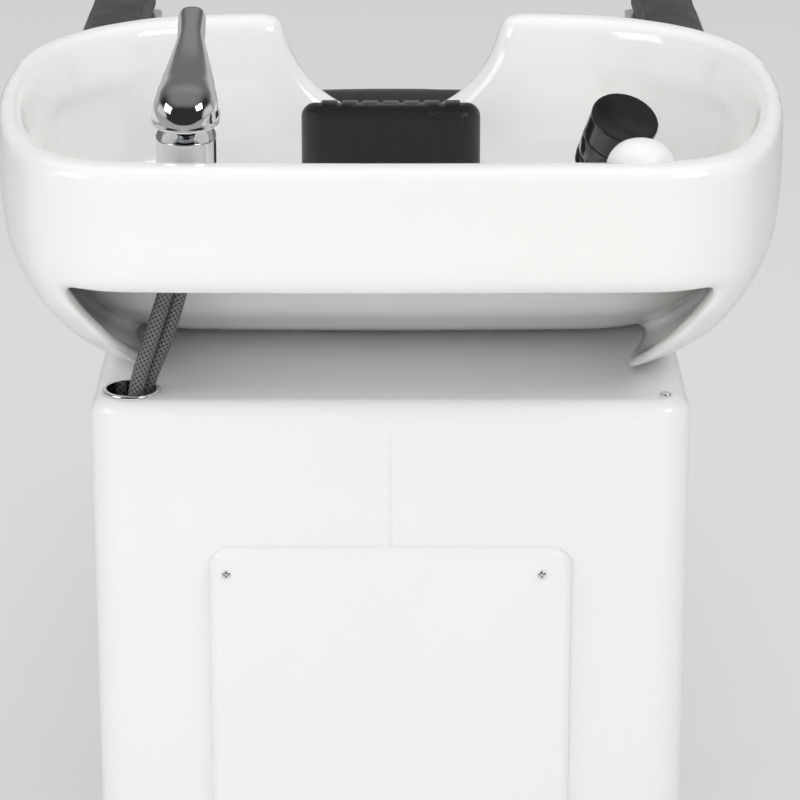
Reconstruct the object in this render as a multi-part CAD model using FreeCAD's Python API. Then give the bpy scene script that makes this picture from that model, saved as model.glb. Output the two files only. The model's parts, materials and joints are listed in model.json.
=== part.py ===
import FreeCAD, Part
import math
import os

# Hair washing bed: a glazed ceramic basin on a moulded cabinet, with a steel framed couch behind it.
# X runs across the couch, Y runs from the basin's apron to the foot end, Z is up from the floor.

# Overall
bed_length = 1790.0
slip = 0.3
overrun = 12.0
rivet_gap = 0.05

# Floor frame
foot_height = 30.0
foot_pad_radius = 24.0
foot_pad_height = 12.0
foot_stem_radius = 5.0
foot_nut_radius = 9.0
foot_nut_height = 8.0
rail_width = 40.0
rail_height = 40.0
rail_centre = 182.0
rail_start = 130.0
rail_end_gap = 230.0
foot_inset = 50.0
cross_width = 30.0
cross_middle_gap = 94.0
cross_inset = 30.0

# Cabinet
cabinet_setback = 58.0
cabinet_half_width = 235.0
cabinet_tail = 12.0
cabinet_floor_gap = 14.0
cabinet_wall = 6.0
cabinet_corner = 26.0
cabinet_top_edge = 14.0
shelf_height = 712.0
rear_cutout_half_width = 212.0
rear_cutout_top = 120.0
waste_hole_half_width = 62.0
waste_hole_half_depth = 50.0

# Access panel
panel_half_width = 143.0
panel_top = 594.0
panel_bottom = 150.0
panel_thickness = 9.0
panel_corner = 16.0
panel_edge = 3.5
panel_screw_left_inset = 14.0
panel_screw_right_inset = 24.0
panel_screw_drop = 20.0
panel_screw_radius = 3.6
panel_screw_head = 2.2
panel_screw_shank_radius = 2.0
panel_opening_margin = 34.0

# Small chrome screw and hose grommet on the shelf
shelf_screw_x = 215.0
shelf_screw_setback = 80.0
shelf_screw_radius = 4.5
shelf_screw_head = 2.5
shelf_screw_shank_radius = 2.4
grommet_x = -203.0
grommet_setback = 90.5
grommet_outer_radius = 23.0
grommet_inner_radius = 19.6
grommet_height = 3.0
grommet_round_share = 0.6
grommet_skirt = 9.0
grommet_skirt_wall = 1.5

# Pedestal inside the cabinet
post_width = 40.0
post_depth = 30.0
pedestal_front_setback = 160.0
pedestal_rear_inset = 58.0
top_plate_thickness = 5.0
top_plate_half_width = 206.0
top_plate_margin = 20.0

# Basin, measured from its rim down and from its apron back
bumper_height = 3.0
bumper_radius = 11.0
bumper_x = 150.0
bumper_front_share = 0.522
bumper_rear_share = 0.806
basin_height = 205.0
basin_half_width = 318.0
basin_depth = 546.0
basin_front_corner = 165.0
corner_x_shares = (0.6226, 0.7757, 0.8767, 0.9339, 0.970)
corner_y_shares = (0.0, 0.0902, 0.330, 0.6596, 1.0)
side_draw_share = 0.015
back_start_share = 0.69
back_flat_share = 0.56
back_mid_x_share = 0.676
back_mid_y_share = 0.6256
rim_fall = 6.0
front_bow = 3.0
back_bow = 12.0
hull_level_shares = (0.0, 0.15, 0.32, 0.49, 0.64, 0.78, 0.90, 1.0)
hull_width_shares = (1.0, 1.0, 1.0, 0.99, 0.963, 0.925, 0.868, 0.745)
hull_front_shares = (0.0, 0.0, 0.0, 0.004, 0.04, 0.10, 0.165, 0.205)
hull_back_shares = (1.0, 0.998, 0.995, 0.99, 0.98, 0.965, 0.95, 0.93)
rim_front = 38.0
rim_side = 20.0
rim_back = 38.0
deck_drop = 60.0
deck_thickness = 14.0
deck_back_share = 0.275
tray_draft = 6.0
bowl_floor = 20.0
bowl_level_shares = (0.0, 0.42, 0.72, 0.91, 1.0)
bowl_width_shares = (1.0, 0.965, 0.89, 0.81, 0.72)
bowl_front_shares = (0.0, 0.025, 0.08, 0.17, 0.255)
bowl_back_shares = (0.92, 0.912, 0.885, 0.84, 0.79)
bowl_corner_share = 0.30
bowl_overlap = 8.0
apron_height = 106.0
apron_wall = 16.0
cheek_wall = 20.0
mouth_top_half_width = 250.0
mouth_bottom_half_width = 178.0
mouth_reach = 190.0
belly_wall = 14.0
belly_back_share = 0.846
notch_half_width = 96.0
notch_shoulder_half_width = 84.0
notch_shoulder_drop = 44.0
notch_throat_half_width = 47.0
notch_throat_drop = 80.0
notch_drop = 93.0
notch_start_share = 0.7875

# Basin hinge
hinge_inset = 46.0
hinge_rise = 23.0
hinge_shaft_radius = 7.0
hinge_bore_gap = 0.06
hinge_shaft_half_length = 134.0
hinge_ear_radius = 13.0
hinge_plate_thickness = 4.0
hinge_ear_thickness = 5.0
hinge_knuckle_width = 14.0
hinge_knuckle_x = 112.0
hinge_ear_gap = 0.5
hinge_base_half_depth = 17.0
hinge_base_end = 16.0
hinge_plate_half_width = 140.0
relief_depth = 68.0
relief_rise = 40.0
hinge_bolt_radius = 3.0
hinge_bolt_head_radius = 5.5
hinge_bolt_head = 3.5
hinge_bolt_spread = 40.0
hinge_bolt_depth = 8.0

# Waste
drain_place_share = 0.546
drain_flange_radius = 35.0
drain_flange_height = 3.0
drain_throat_radius = 22.0
drain_tube_radius = 25.0
drain_tube_length = 66.0
drain_gasket_radius = 33.0
drain_gasket_height = 3.0
drain_nut_radius = 34.0
drain_nut_height = 10.0
trap_radius = 30.0
trap_wall = 3.0
trap_height = 96.0
trap_cup_height = 46.0
trap_cup_radius = 33.5
trap_outlet_radius = 16.0
trap_outlet_length = 40.0
trap_collar_radius = 20.0
trap_spigot_length = 30.0
trap_outlet_drop = 30.0
strainer_radius = 20.0
strainer_wall = 1.5
strainer_depth = 22.0
strainer_rim_radius = 26.0
strainer_rim_height = 2.0
strainer_hole_radius = 2.0
strainer_hole_ring_radius = 11.0
strainer_hole_count = 10
strainer_knob_radius = 4.0
strainer_knob_height = 14.0

# Head support inside the bowl
support_place_share = 0.48
support_depth = 92.0
support_half_width = 73.5
support_top_drop = 22.0
support_height = 76.0
support_fall = 24.0
support_edge = 16.0
support_corner = 22.0
support_rib_count = 7
support_rib_width = 13.2
support_rib_pitch = 16.8
support_rib_height = 3.0
support_rib_depth_share = 0.62
support_rib_front_share = 0.16
tray_plate_half_width = 60.0
tray_plate_thickness = 4.0
tray_plate_inset = 14.0
tray_plate_end_share = 0.74
support_post_radius = 9.0
support_post_share = 0.707
support_foot_radius = 21.0
support_foot_height = 4.0
peg_radius = 4.0
peg_length = 16.0
peg_spread = 44.0
peg_inset = 44.0
peg_gap = 0.3

# Mixer tap
tap_x = -156.0
tap_setback = 88.0
tap_ring_radius = 26.0
tap_ring_height = 4.0
tap_radius = 23.2
tap_height = 61.0
tap_shank_radius = 15.0
tap_hole_gap = 1.5
tap_nut_radius = 25.0
tap_nut_height = 10.0
tap_slope_deg = 19.0
tap_swivel_deg = 45.0
stem_radius = 8.0
stem_height = 19.0
lever_pivot_rise = 9.0
lever_bottom_gap = 1.2
lever_pin_radius = 2.5
lever_pin_half_length = 17.0
lever_pin_gap = 0.05
lever_cavity_radius = 13.0
lever_cavity_height = 20.0
lever_front = 26.0
lever_reach = 105.0
lever_half_width = 26.5
lever_tip_rise = 59.0
lever_crown = 4.0
lever_place_shares = (-1.0, -0.72, 0.0, 0.19, 0.43, 0.71, 1.0)
lever_width_shares = (0.42, 0.78, 1.0, 0.92, 0.63, 0.46, 0.40)
lever_low_shares = (0.04, 0.0, 0.0, 0.07, 0.34, 0.68, 1.0)
lever_height = 30.0
lever_height_shares = (0.28, 0.66, 1.0, 1.0, 0.82, 0.52, 0.36)
lever_edge_share = 0.22

# Shower handset and its dock on the deck
dock_x = 198.0
dock_setback_share = 0.21612
bush_flange_radius = 16.3
bush_flange_height = 3.0
bush_radius = 14.5
bush_bore_radius = 12.5
bush_nut_radius = 17.0
bush_nut_height = 8.0
bush_hole_gap = 0.3
handle_radius = 12.0
handle_tail = 56.0
handle_rise = 24.0
handle_nipple_radius = 8.0
handle_nipple_length = 10.0
head_x = 183.0
head_setback = 140.0
head_radius = 27.0
head_length = 40.0
head_ring_width = 2.0
head_ring_inset = 0.8
head_cup_length = 12.0
head_plate_inset = 2.5
head_plate_thickness = 3.0
head_lean_x = 0.223
head_lean_y = -0.506
head_lean_z = 0.830
neck_radius = 11.0
rest_x = 191.0
rest_setback = 75.0
rest_radius = 26.5
rest_height = 60.0
rest_dome = 18.0

# Supply hoses, as points from the tap down to the stop valves: the share of the way across from the tap to
# the grommet, the distance behind the tap, and the share of the height from the shelf up to the tap's nut
hose_radius = 6.2
hose_nut_radius = 7.2
hose_nut_length = 16.0
cold_hose_route = [
    (0.223, -5.5, 1.0),
    (0.372, -5.6, 0.783),
    (0.606, -5.8, 0.461),
    (0.872, -5.6, 0.129),
    (0.979, -4.5, -0.203),
    (1.006, -1.5, -0.525),
    (1.006, -1.5, -0.811),
]
hot_hose_route = [
    (-0.032, 5.5, 1.0),
    (0.149, 5.6, 0.783),
    (0.351, 5.8, 0.461),
    (0.628, 6.6, 0.184),
    (0.872, 7.6, -0.111),
    (0.787, 13.0, -0.479),
    (0.787, 13.0, -0.756),
]
hose_turn_share = 0.45
hose_ferrule_seat = 0.5
valve_radius = 8.6
valve_length = 26.0
valve_tail_radius = 6.6
valve_tail_length = 16.0
valve_drop_share = 0.45
valve_plate_thickness = 4.0
valve_plate_margin = 5.0
valve_flange_height = 30.0

# Couch frame
tube_width = 30.0
tube_height = 30.0
seat_board_top = 410.0
board_thickness = 15.0
board_half_width = 242.0
back_gap = 19.1
back_rise_deg = 32.0
back_length = 672.0
back_tube_end_gap = 70.0
back_post_reach = 295.0
seat_post_inset = 30.0
seat_post_rear_inset = 67.0
seat_tube_end_gap = 60.0
back_cross_share = 0.82
seat_cross_inset = 90.0
leg_cross_end_gap = 130.0
leg_length = 198.0
leg_board_end_gap = 14.0
cushion_gap = 3.0
cushion_half_width = 252.0
cushion_height = 84.0
cushion_crown = 9.0
cushion_edge = 10.0
cushion_draw = 4.0
cushion_end_round = 30.0
cushion_end_width_share = 0.972
cushion_end_height_share = 0.66
cushion_end_steps = 5
cushion_draw_shares = (0.25, 0.5, 0.75)
board_screw_radius = 4.0
board_screw_head = 3.0
board_screw_inset = 50.0
board_screw_rear_inset = 40.0
board_screw_shank_radius = 2.5
board_screw_stop = 4.0

# Armrests
armrest_inner = 268.0
armrest_width = 74.0
armrest_reach = 380.0
armrest_length = 630.0
armrest_top = 770.0
armrest_pad_height = 28.0
armrest_pad_crown = 4.0
armrest_pad_edge = 6.0
armrest_end_round = 22.0
armrest_base_thickness = 12.0
armrest_base_inset = 4.0
upright_thickness = 8.0
upright_width = 50.0
upright_inner = 272.0
outrigger_width = 30.0
outrigger_height = 30.0
front_outrigger_height = 470.0
rear_outrigger_height = 330.0

# Places worked out from the sizes above
front_y = -bed_length / 2
rim_z = shelf_height + bumper_height + basin_height
basin_base_z = rim_z - basin_height
deck_z = rim_z - deck_drop
deck_back = basin_depth * deck_back_share
belly_back = basin_depth * belly_back_share
notch_start = basin_depth * notch_start_share
relief_start = basin_depth - relief_depth
drain_setback = basin_depth * drain_place_share
bumper_front_setback = basin_depth * bumper_front_share
bumper_rear_setback = basin_depth * bumper_rear_share
support_setback = basin_depth * support_place_share
support_post_setback = basin_depth * support_post_share
tray_plate_setback = support_setback + tray_plate_inset
tray_plate_end = basin_depth * tray_plate_end_share
peg_setback = support_setback + peg_inset
deck_under_z = deck_z - deck_thickness
bowl_floor_z = basin_base_z + bowl_floor
rail_top = foot_height + rail_height
hinge_z = shelf_height + hinge_rise
hinge_y = front_y + basin_depth - hinge_inset
relief_z = basin_base_z + relief_rise
drain_y = front_y + drain_setback
tap_y = front_y + tap_setback
dock_y = front_y + basin_depth * dock_setback_share
seat_tube_top = seat_board_top - board_thickness
seat_tube_bottom = seat_tube_top - tube_height
back_angle = math.radians(back_rise_deg)
fold_y = front_y + basin_depth + back_gap + back_length * math.cos(back_angle)
leg_start_y = front_y + bed_length - leg_length
rail_end_y = front_y + bed_length - rail_end_gap
back_post_y = fold_y - back_post_reach
seat_post_y = fold_y + seat_post_inset
armrest_start_y = fold_y - armrest_reach
cabinet_front_y = front_y + cabinet_setback
cabinet_back_y = front_y + basin_depth + cabinet_tail
pedestal_front_y = front_y + pedestal_front_setback
pedestal_rear_y = cabinet_back_y - pedestal_rear_inset
plate_bottom = shelf_height - cabinet_wall - top_plate_thickness
lever_pivot_z = deck_z + tap_ring_height + tap_height + lever_pivot_rise
hose_top_z = deck_under_z - tap_nut_height - hose_nut_length + hose_ferrule_seat


def vec(x, y, z):
    return FreeCAD.Vector(x, y, z)


def save(name, shape):
    shape.exportStep("parts/" + name + ".step")


def box(x0, x1, y0, y1, z0, z1):
    return Part.makeBox(x1 - x0, y1 - y0, z1 - z0, vec(x0, y0, z0))


def rod(x, y, z0, z1, radius):
    return Part.makeCylinder(radius, z1 - z0, vec(x, y, z0))


def cross_rod(x0, x1, y, z, radius):
    return Part.makeCylinder(radius, x1 - x0, vec(x0, y, z), vec(1, 0, 0))


def group(solids):
    return Part.makeCompound(solids)


def prism(points, x0, x1):
    """A side profile in (y, z), carried from x0 to x1."""
    corners = [vec(x0, y, z) for y, z in points]
    wire = Part.makePolygon(corners + corners[:1])
    return Part.Face(wire).extrude(vec(x1 - x0, 0, 0))


def front_prism(points, y0, y1):
    """A front profile in (x, z), carried from y0 to y1."""
    corners = [vec(x, y0, z) for x, z in points]
    wire = Part.makePolygon(corners + corners[:1])
    return Part.Face(wire).extrude(vec(0, y1 - y0, 0))


def upright_edges(shape):
    found = []
    for edge in shape.Edges:
        a = edge.Vertexes[0].Point
        b = edge.Vertexes[-1].Point
        if abs(a.x - b.x) < rivet_gap and abs(a.y - b.y) < rivet_gap and abs(a.z - b.z) > rivet_gap:
            found.append(edge)
    return found


def edges_at(shape, axis, value):
    """Edges whose whole box lies on one plane."""
    found = []
    for edge in shape.Edges:
        low = getattr(edge.BoundBox, axis + "Min")
        high = getattr(edge.BoundBox, axis + "Max")
        if abs(low - value) < rivet_gap and abs(high - value) < rivet_gap:
            found.append(edge)
    return found


def arc(a, b, c):
    return Part.Arc(a, b, c).toShape()


def line(a, b):
    return Part.LineSegment(a, b).toShape()


def basin_outline(z, half_width, front, back, corner):
    """The basin's plan: a bowed front, long round front corners, bowed sides and a wide round back."""
    side = half_width * (1 - side_draw_share)
    back_start = front + (back - front) * back_start_share
    back_flat = half_width * back_flat_share
    back_edge = back - back_bow
    mid_x = back_flat + (side - back_flat) * back_mid_x_share
    mid_y = back_start + (back_edge - back_start) * back_mid_y_share
    low = front + front_bow
    right = [
        (half_width * across, low + (corner - front_bow) * along)
        for across, along in zip(corner_x_shares, corner_y_shares)
    ]
    right += [
        (half_width, (front + corner + back_start) / 2), (side, back_start), (mid_x, mid_y),
        (back_flat, back_edge),
    ]
    left = [(-x, y) for x, y in reversed(right)]
    points = left[-1:] + [(0, front)] + right + [(0, back)] + left
    places = [vec(x, front_y + y, z) for x, y in points]
    edges = [arc(places[i], places[i + 1], places[i + 2]) for i in range(0, len(places) - 1, 2)]
    return Part.Wire(edges)


def hull(inset_side, inset_front, inset_back, low, high):
    """The basin's outer form, drawn in by a wall, between two shares of its height."""
    wires = []
    for level, width, front, back in zip(
        hull_level_shares, hull_width_shares, hull_front_shares, hull_back_shares
    ):
        if level < low or level > high:
            continue
        wires.append(basin_outline(
            rim_z - level * basin_height,
            basin_half_width * width - inset_side,
            basin_depth * front + inset_front,
            basin_depth * back - inset_back,
            basin_front_corner - inset_front,
        ))
    return Part.makeLoft(wires, True, True)


def tray_space():
    """The shallow tray between the rim and the deck."""
    half = basin_half_width - rim_side
    back = basin_depth - rim_back
    corner = basin_front_corner - rim_side
    return Part.makeLoft([
        basin_outline(rim_z + overrun, half + tray_draft, rim_front - tray_draft, back + tray_draft, corner),
        basin_outline(deck_z, half - tray_draft, rim_front + tray_draft, back - tray_draft, corner),
    ], True, True)


def deep_bowl(wall, drop):
    """The bowl behind the deck, grown by a wall and let down by a drop."""
    half = basin_half_width - rim_side - tray_draft
    top = deck_z + bowl_overlap
    fall = top - bowl_floor_z
    wires = []
    for level, width, front, end in zip(
        bowl_level_shares, bowl_width_shares, bowl_front_shares, bowl_back_shares
    ):
        start = deck_back + (basin_depth - deck_back) * front - wall
        finish = basin_depth * end + wall
        wires.append(basin_outline(
            top - level * fall - drop, half * width + wall, start, finish,
            (finish - start) * bowl_corner_share,
        ))
    return Part.makeLoft(wires, True, True)


def make_basin():
    shell = hull(0, 0, 0, 0.0, 1.0)
    recess_space = hull(cheek_wall, apron_wall, cheek_wall, hull_level_shares[1], 1.0)
    space = box(
        -basin_half_width, basin_half_width, front_y - overrun, front_y + belly_back,
        basin_base_z - overrun, deck_under_z,
    )
    space = space.cut(deep_bowl(belly_wall, bowl_floor))
    recess = space.common(recess_space)
    mouth = front_prism([
        (-mouth_top_half_width, rim_z - apron_height),
        (mouth_top_half_width, rim_z - apron_height),
        (mouth_bottom_half_width, basin_base_z - overrun),
        (-mouth_bottom_half_width, basin_base_z - overrun),
    ], front_y - overrun, front_y + mouth_reach)
    mouth = mouth.common(space)
    throat = rim_z + overrun
    notch_edges = [
        line(vec(-notch_half_width, 0, throat), vec(notch_half_width, 0, throat)),
        arc(
            vec(notch_half_width, 0, throat),
            vec(notch_shoulder_half_width, 0, rim_z - notch_shoulder_drop),
            vec(notch_throat_half_width, 0, rim_z - notch_throat_drop),
        ),
        arc(
            vec(notch_throat_half_width, 0, rim_z - notch_throat_drop),
            vec(0, 0, rim_z - notch_drop),
            vec(-notch_throat_half_width, 0, rim_z - notch_throat_drop),
        ),
        arc(
            vec(-notch_throat_half_width, 0, rim_z - notch_throat_drop),
            vec(-notch_shoulder_half_width, 0, rim_z - notch_shoulder_drop),
            vec(-notch_half_width, 0, throat),
        ),
    ]
    notch = Part.Face(Part.Wire(notch_edges)).extrude(vec(0, basin_depth - notch_start + overrun, 0))
    notch.translate(vec(0, front_y + notch_start, 0))
    relief = box(
        -basin_half_width, basin_half_width, front_y + relief_start, front_y + basin_depth + overrun,
        basin_base_z - overrun, relief_z,
    )
    slope = prism([
        (front_y - overrun, rim_z - rim_fall), (front_y + basin_depth + overrun, rim_z),
        (front_y + basin_depth + overrun, rim_z + overrun), (front_y - overrun, rim_z + overrun),
    ], -basin_half_width - overrun, basin_half_width + overrun)
    shell = shell.cut(slope).cut(tray_space()).cut(deep_bowl(0, 0))
    shell = shell.cut(recess).cut(mouth).cut(notch).cut(relief)
    low = deck_under_z - overrun
    high = deck_z + overrun
    waste_radius = drain_tube_radius + slip
    shell = shell.cut(rod(0, drain_y, basin_base_z - overrun, bowl_floor_z + overrun, waste_radius))
    shell = shell.cut(rod(tap_x, tap_y, low, high, tap_shank_radius + tap_hole_gap))
    shell = shell.cut(rod(dock_x, dock_y, low, high, bush_radius + bush_hole_gap))
    for x in (-hinge_bolt_spread, hinge_bolt_spread):
        shell = shell.cut(rod(
            x, hinge_y, relief_z - overrun, relief_z + hinge_bolt_depth + slip, hinge_bolt_radius + slip,
        ))
    return shell


def soft_section(y, z, half_width, height, crown, edge):
    """One cross section of a pad: a flat base, bowed sides and a crowned top."""
    low = half_width - edge
    a = vec(-low, y, z)
    b = vec(low, y, z)
    c = vec(low, y, z + height)
    d = vec(-low, y, z + height)
    return Part.Wire([
        line(a, b),
        arc(b, vec(half_width, y, z + height / 2), c),
        arc(c, vec(0, y, z + height + crown), d),
        arc(d, vec(-half_width, y, z + height / 2), a),
    ])


def cushion(half_width, length, height, crown, edge, draw, end_round):
    """A crowned pad along +Y from the origin, with round ends and sides that draw in halfway."""
    stations = []
    for k in range(cushion_end_steps + 1):
        turn = math.pi / 2 * k / cushion_end_steps
        along = end_round * (1 - math.cos(turn))
        rise = cushion_end_height_share + (1 - cushion_end_height_share) * math.sin(turn)
        width = cushion_end_width_share + (1 - cushion_end_width_share) * math.sin(turn)
        stations.append((along, width, rise, 0))
    back = [(length - along, width, rise, pull) for along, width, rise, pull in reversed(stations)]
    for share in cushion_draw_shares:
        pull = draw * math.sin(math.pi * share)
        stations.append((end_round + (length - 2 * end_round) * share, 1, 1, pull))
    wires = [
        soft_section(y, 0, half_width * width - pull, height * rise, crown * rise, edge)
        for y, width, rise, pull in stations + back
    ]
    return Part.makeLoft(wires, True, True)


def hose_points(route):
    """The route's places, between the tap and the grommet."""
    return [
        (
            tap_x + (grommet_x - tap_x) * across,
            tap_y + behind,
            shelf_height + (hose_top_z - shelf_height) * rise,
        )
        for across, behind, rise in route
    ]


def hose_path(route):
    """Straight runs joined by tangent arcs, as large as the runs beside each point allow."""
    points = [vec(x, y, z) for x, y, z in route]
    edges = []
    here = points[0]
    radii = []
    for i in range(1, len(points) - 1):
        before = points[i] - points[i - 1]
        after = points[i + 1] - points[i]
        turn = before.getAngle(after)
        reach = hose_turn_share * min(before.Length, after.Length)
        radii.append(reach / math.tan(turn / 2))
        before.normalize()
        after.normalize()
        enter = points[i] - before * reach
        leave = points[i] + after * reach
        bisect = after - before
        bisect.normalize()
        radius = radii[-1]
        middle = points[i] + bisect * (radius / math.cos(turn / 2) - radius)
        edges.append(line(here, enter))
        edges.append(arc(enter, middle, leave))
        here = leave
    edges.append(line(here, points[-1]))
    return Part.Wire(edges), radii


def make_hose(name, route):
    path, radii = hose_path(route)
    start = path.Edges[0]
    tangent = start.tangentAt(start.FirstParameter)
    x, y, z = route[0]
    ring = Part.Wire([Part.makeCircle(hose_radius, vec(x, y, z), tangent)])
    tube = path.makePipeShell([ring], True, False)
    expected = math.pi * hose_radius ** 2 * path.Length
    print(name, "length", round(path.Length, 1), "radii", [round(r) for r in radii])
    print(name, "volume share", round(tube.Volume / expected, 4))
    save(name, tube)


def direction(a, b):
    step = vec(b[0] - a[0], b[1] - a[1], b[2] - a[2])
    step.normalize()
    return step


def fitting(point, towards, length, radius):
    place = vec(point[0], point[1], point[2])
    return Part.makeCylinder(radius, length, place, towards)


def cabinet_parts():
    outer = box(
        -cabinet_half_width, cabinet_half_width, cabinet_front_y, cabinet_back_y,
        cabinet_floor_gap, shelf_height,
    )
    outer = outer.makeFillet(cabinet_corner, upright_edges(outer))
    outer = outer.makeFillet(cabinet_top_edge, edges_at(outer, "Z", shelf_height))
    inner_top = shelf_height - cabinet_wall
    inner = box(
        -cabinet_half_width + cabinet_wall, cabinet_half_width - cabinet_wall,
        cabinet_front_y + cabinet_wall, cabinet_back_y - cabinet_wall,
        cabinet_floor_gap - overrun, inner_top,
    )
    inner = inner.makeFillet(cabinet_corner - cabinet_wall, upright_edges(inner))
    inner = inner.makeFillet(cabinet_top_edge - cabinet_wall, edges_at(inner, "Z", inner_top))
    shell = outer.cut(inner)
    shell = shell.cut(box(
        -rear_cutout_half_width, rear_cutout_half_width, cabinet_back_y - cabinet_wall - overrun,
        cabinet_back_y + overrun, cabinet_floor_gap - overrun, rear_cutout_top,
    ))
    shell = shell.cut(box(
        -waste_hole_half_width, waste_hole_half_width, drain_y - waste_hole_half_depth,
        drain_y + waste_hole_half_depth, inner_top - overrun, shelf_height + overrun,
    ))
    opening = panel_half_width - panel_opening_margin
    shell = shell.cut(box(
        -opening, opening, cabinet_front_y - overrun, cabinet_front_y + cabinet_wall + overrun,
        panel_bottom + panel_opening_margin, panel_top - panel_opening_margin,
    ))
    grommet_y = front_y + grommet_setback
    hole = grommet_inner_radius + grommet_skirt_wall + slip
    shell = shell.cut(rod(grommet_x, grommet_y, inner_top - overrun, shelf_height + overrun, hole))
    screw_y = front_y + shelf_screw_setback
    shell = shell.cut(rod(
        shelf_screw_x, screw_y, inner_top - overrun, shelf_height + overrun,
        shelf_screw_shank_radius + slip,
    ))
    screws = []
    panel = box(
        -panel_half_width, panel_half_width, cabinet_front_y - panel_thickness, cabinet_front_y,
        panel_bottom, panel_top,
    )
    corners = [e for e in panel.Edges if e.BoundBox.YLength > panel_thickness / 2]
    panel = panel.makeFillet(panel_corner, corners)
    panel = panel.makeChamfer(panel_edge, edges_at(panel, "Y", cabinet_front_y - panel_thickness))
    face = cabinet_front_y - panel_thickness
    for x in (-panel_half_width + panel_screw_left_inset, panel_half_width - panel_screw_right_inset):
        for z in (panel_top - panel_screw_drop, panel_bottom + panel_screw_drop):
            head_place = vec(x, face - panel_screw_head, z)
            head = Part.makeCylinder(panel_screw_radius, panel_screw_head, head_place, vec(0, 1, 0))
            head = head.makeFillet(panel_screw_head / 2, edges_at(head, "Y", face - panel_screw_head))
            length = panel_thickness + cabinet_wall
            place = vec(x, face, z)
            shank = Part.makeCylinder(panel_screw_shank_radius, length, place, vec(0, 1, 0))
            hole_radius = panel_screw_shank_radius + rivet_gap
            hole = Part.makeCylinder(hole_radius, length + overrun, place, vec(0, 1, 0))
            screws.append(head.fuse(shank))
            panel = panel.cut(hole)
            shell = shell.cut(hole)
    save("base_cabinet", shell)
    save("access_panel", panel)
    save("panel_screws", group(screws))
    head = rod(shelf_screw_x, screw_y, shelf_height, shelf_height + shelf_screw_head, shelf_screw_radius)
    head = head.makeFillet(shelf_screw_head / 2, edges_at(head, "Z", shelf_height + shelf_screw_head))
    shank_low = inner_top - overrun
    shank = rod(shelf_screw_x, screw_y, shank_low, shelf_height, shelf_screw_shank_radius)
    save("shelf_screw", head.fuse(shank))
    ring_top = shelf_height + grommet_height
    ring = rod(grommet_x, grommet_y, shelf_height, ring_top, grommet_outer_radius)
    ring = ring.makeFillet(grommet_height * grommet_round_share, edges_at(ring, "Z", ring_top))
    skirt_radius = grommet_inner_radius + grommet_skirt_wall
    skirt = rod(grommet_x, grommet_y, shelf_height - grommet_skirt, shelf_height, skirt_radius)
    ring = ring.fuse(skirt).cut(rod(
        grommet_x, grommet_y, shelf_height - grommet_skirt - overrun, shelf_height + overrun,
        grommet_inner_radius,
    ))
    save("hose_grommet", ring)


def frame_parts():
    rails = []
    posts = []
    pads = []
    stems = []
    for side in (-1, 1):
        x = side * rail_centre
        rails.append(box(
            x - rail_width / 2, x + rail_width / 2, front_y + rail_start, rail_end_y, foot_height, rail_top,
        ))
        for y in (front_y + rail_start + foot_inset, rail_end_y - foot_inset):
            pad = rod(x, y, 0, foot_pad_height, foot_pad_radius)
            pads.append(pad.makeFillet(foot_pad_height / 4, edges_at(pad, "Z", foot_pad_height)))
            stem = rod(x, y, foot_pad_height, foot_height, foot_stem_radius)
            nut = rod(x, y, foot_height - foot_nut_height, foot_height, foot_nut_radius)
            stems.append(stem.fuse(nut))
        for y in (pedestal_front_y, pedestal_rear_y):
            posts.append(box(
                x - post_width / 2, x + post_width / 2, y - post_depth / 2, y + post_depth / 2,
                rail_top, plate_bottom,
            ))
    save("floor_rails", group(rails))
    save("levelling_pads", group(pads))
    save("levelling_studs", group(stems))
    save("pedestal_posts", group(posts))
    span = rail_centre - rail_width / 2
    ties = []
    middle_y = front_y + basin_depth + cross_middle_gap
    for y in (front_y + rail_start + cross_inset, middle_y, rail_end_y - cross_inset):
        ties.append(box(-span, span, y - cross_width / 2, y + cross_width / 2, foot_height, rail_top))
    save("floor_cross_tubes", group(ties))
    plate = box(
        -top_plate_half_width, top_plate_half_width,
        pedestal_front_y - post_depth / 2 - top_plate_margin,
        pedestal_rear_y + post_depth / 2 + top_plate_margin,
        plate_bottom, plate_bottom + top_plate_thickness,
    )
    plate = plate.cut(box(
        -waste_hole_half_width, waste_hole_half_width, drain_y - waste_hole_half_depth,
        drain_y + waste_hole_half_depth, plate_bottom - overrun, plate_bottom + overrun,
    ))
    save("pedestal_top_plate", plate)


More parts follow.
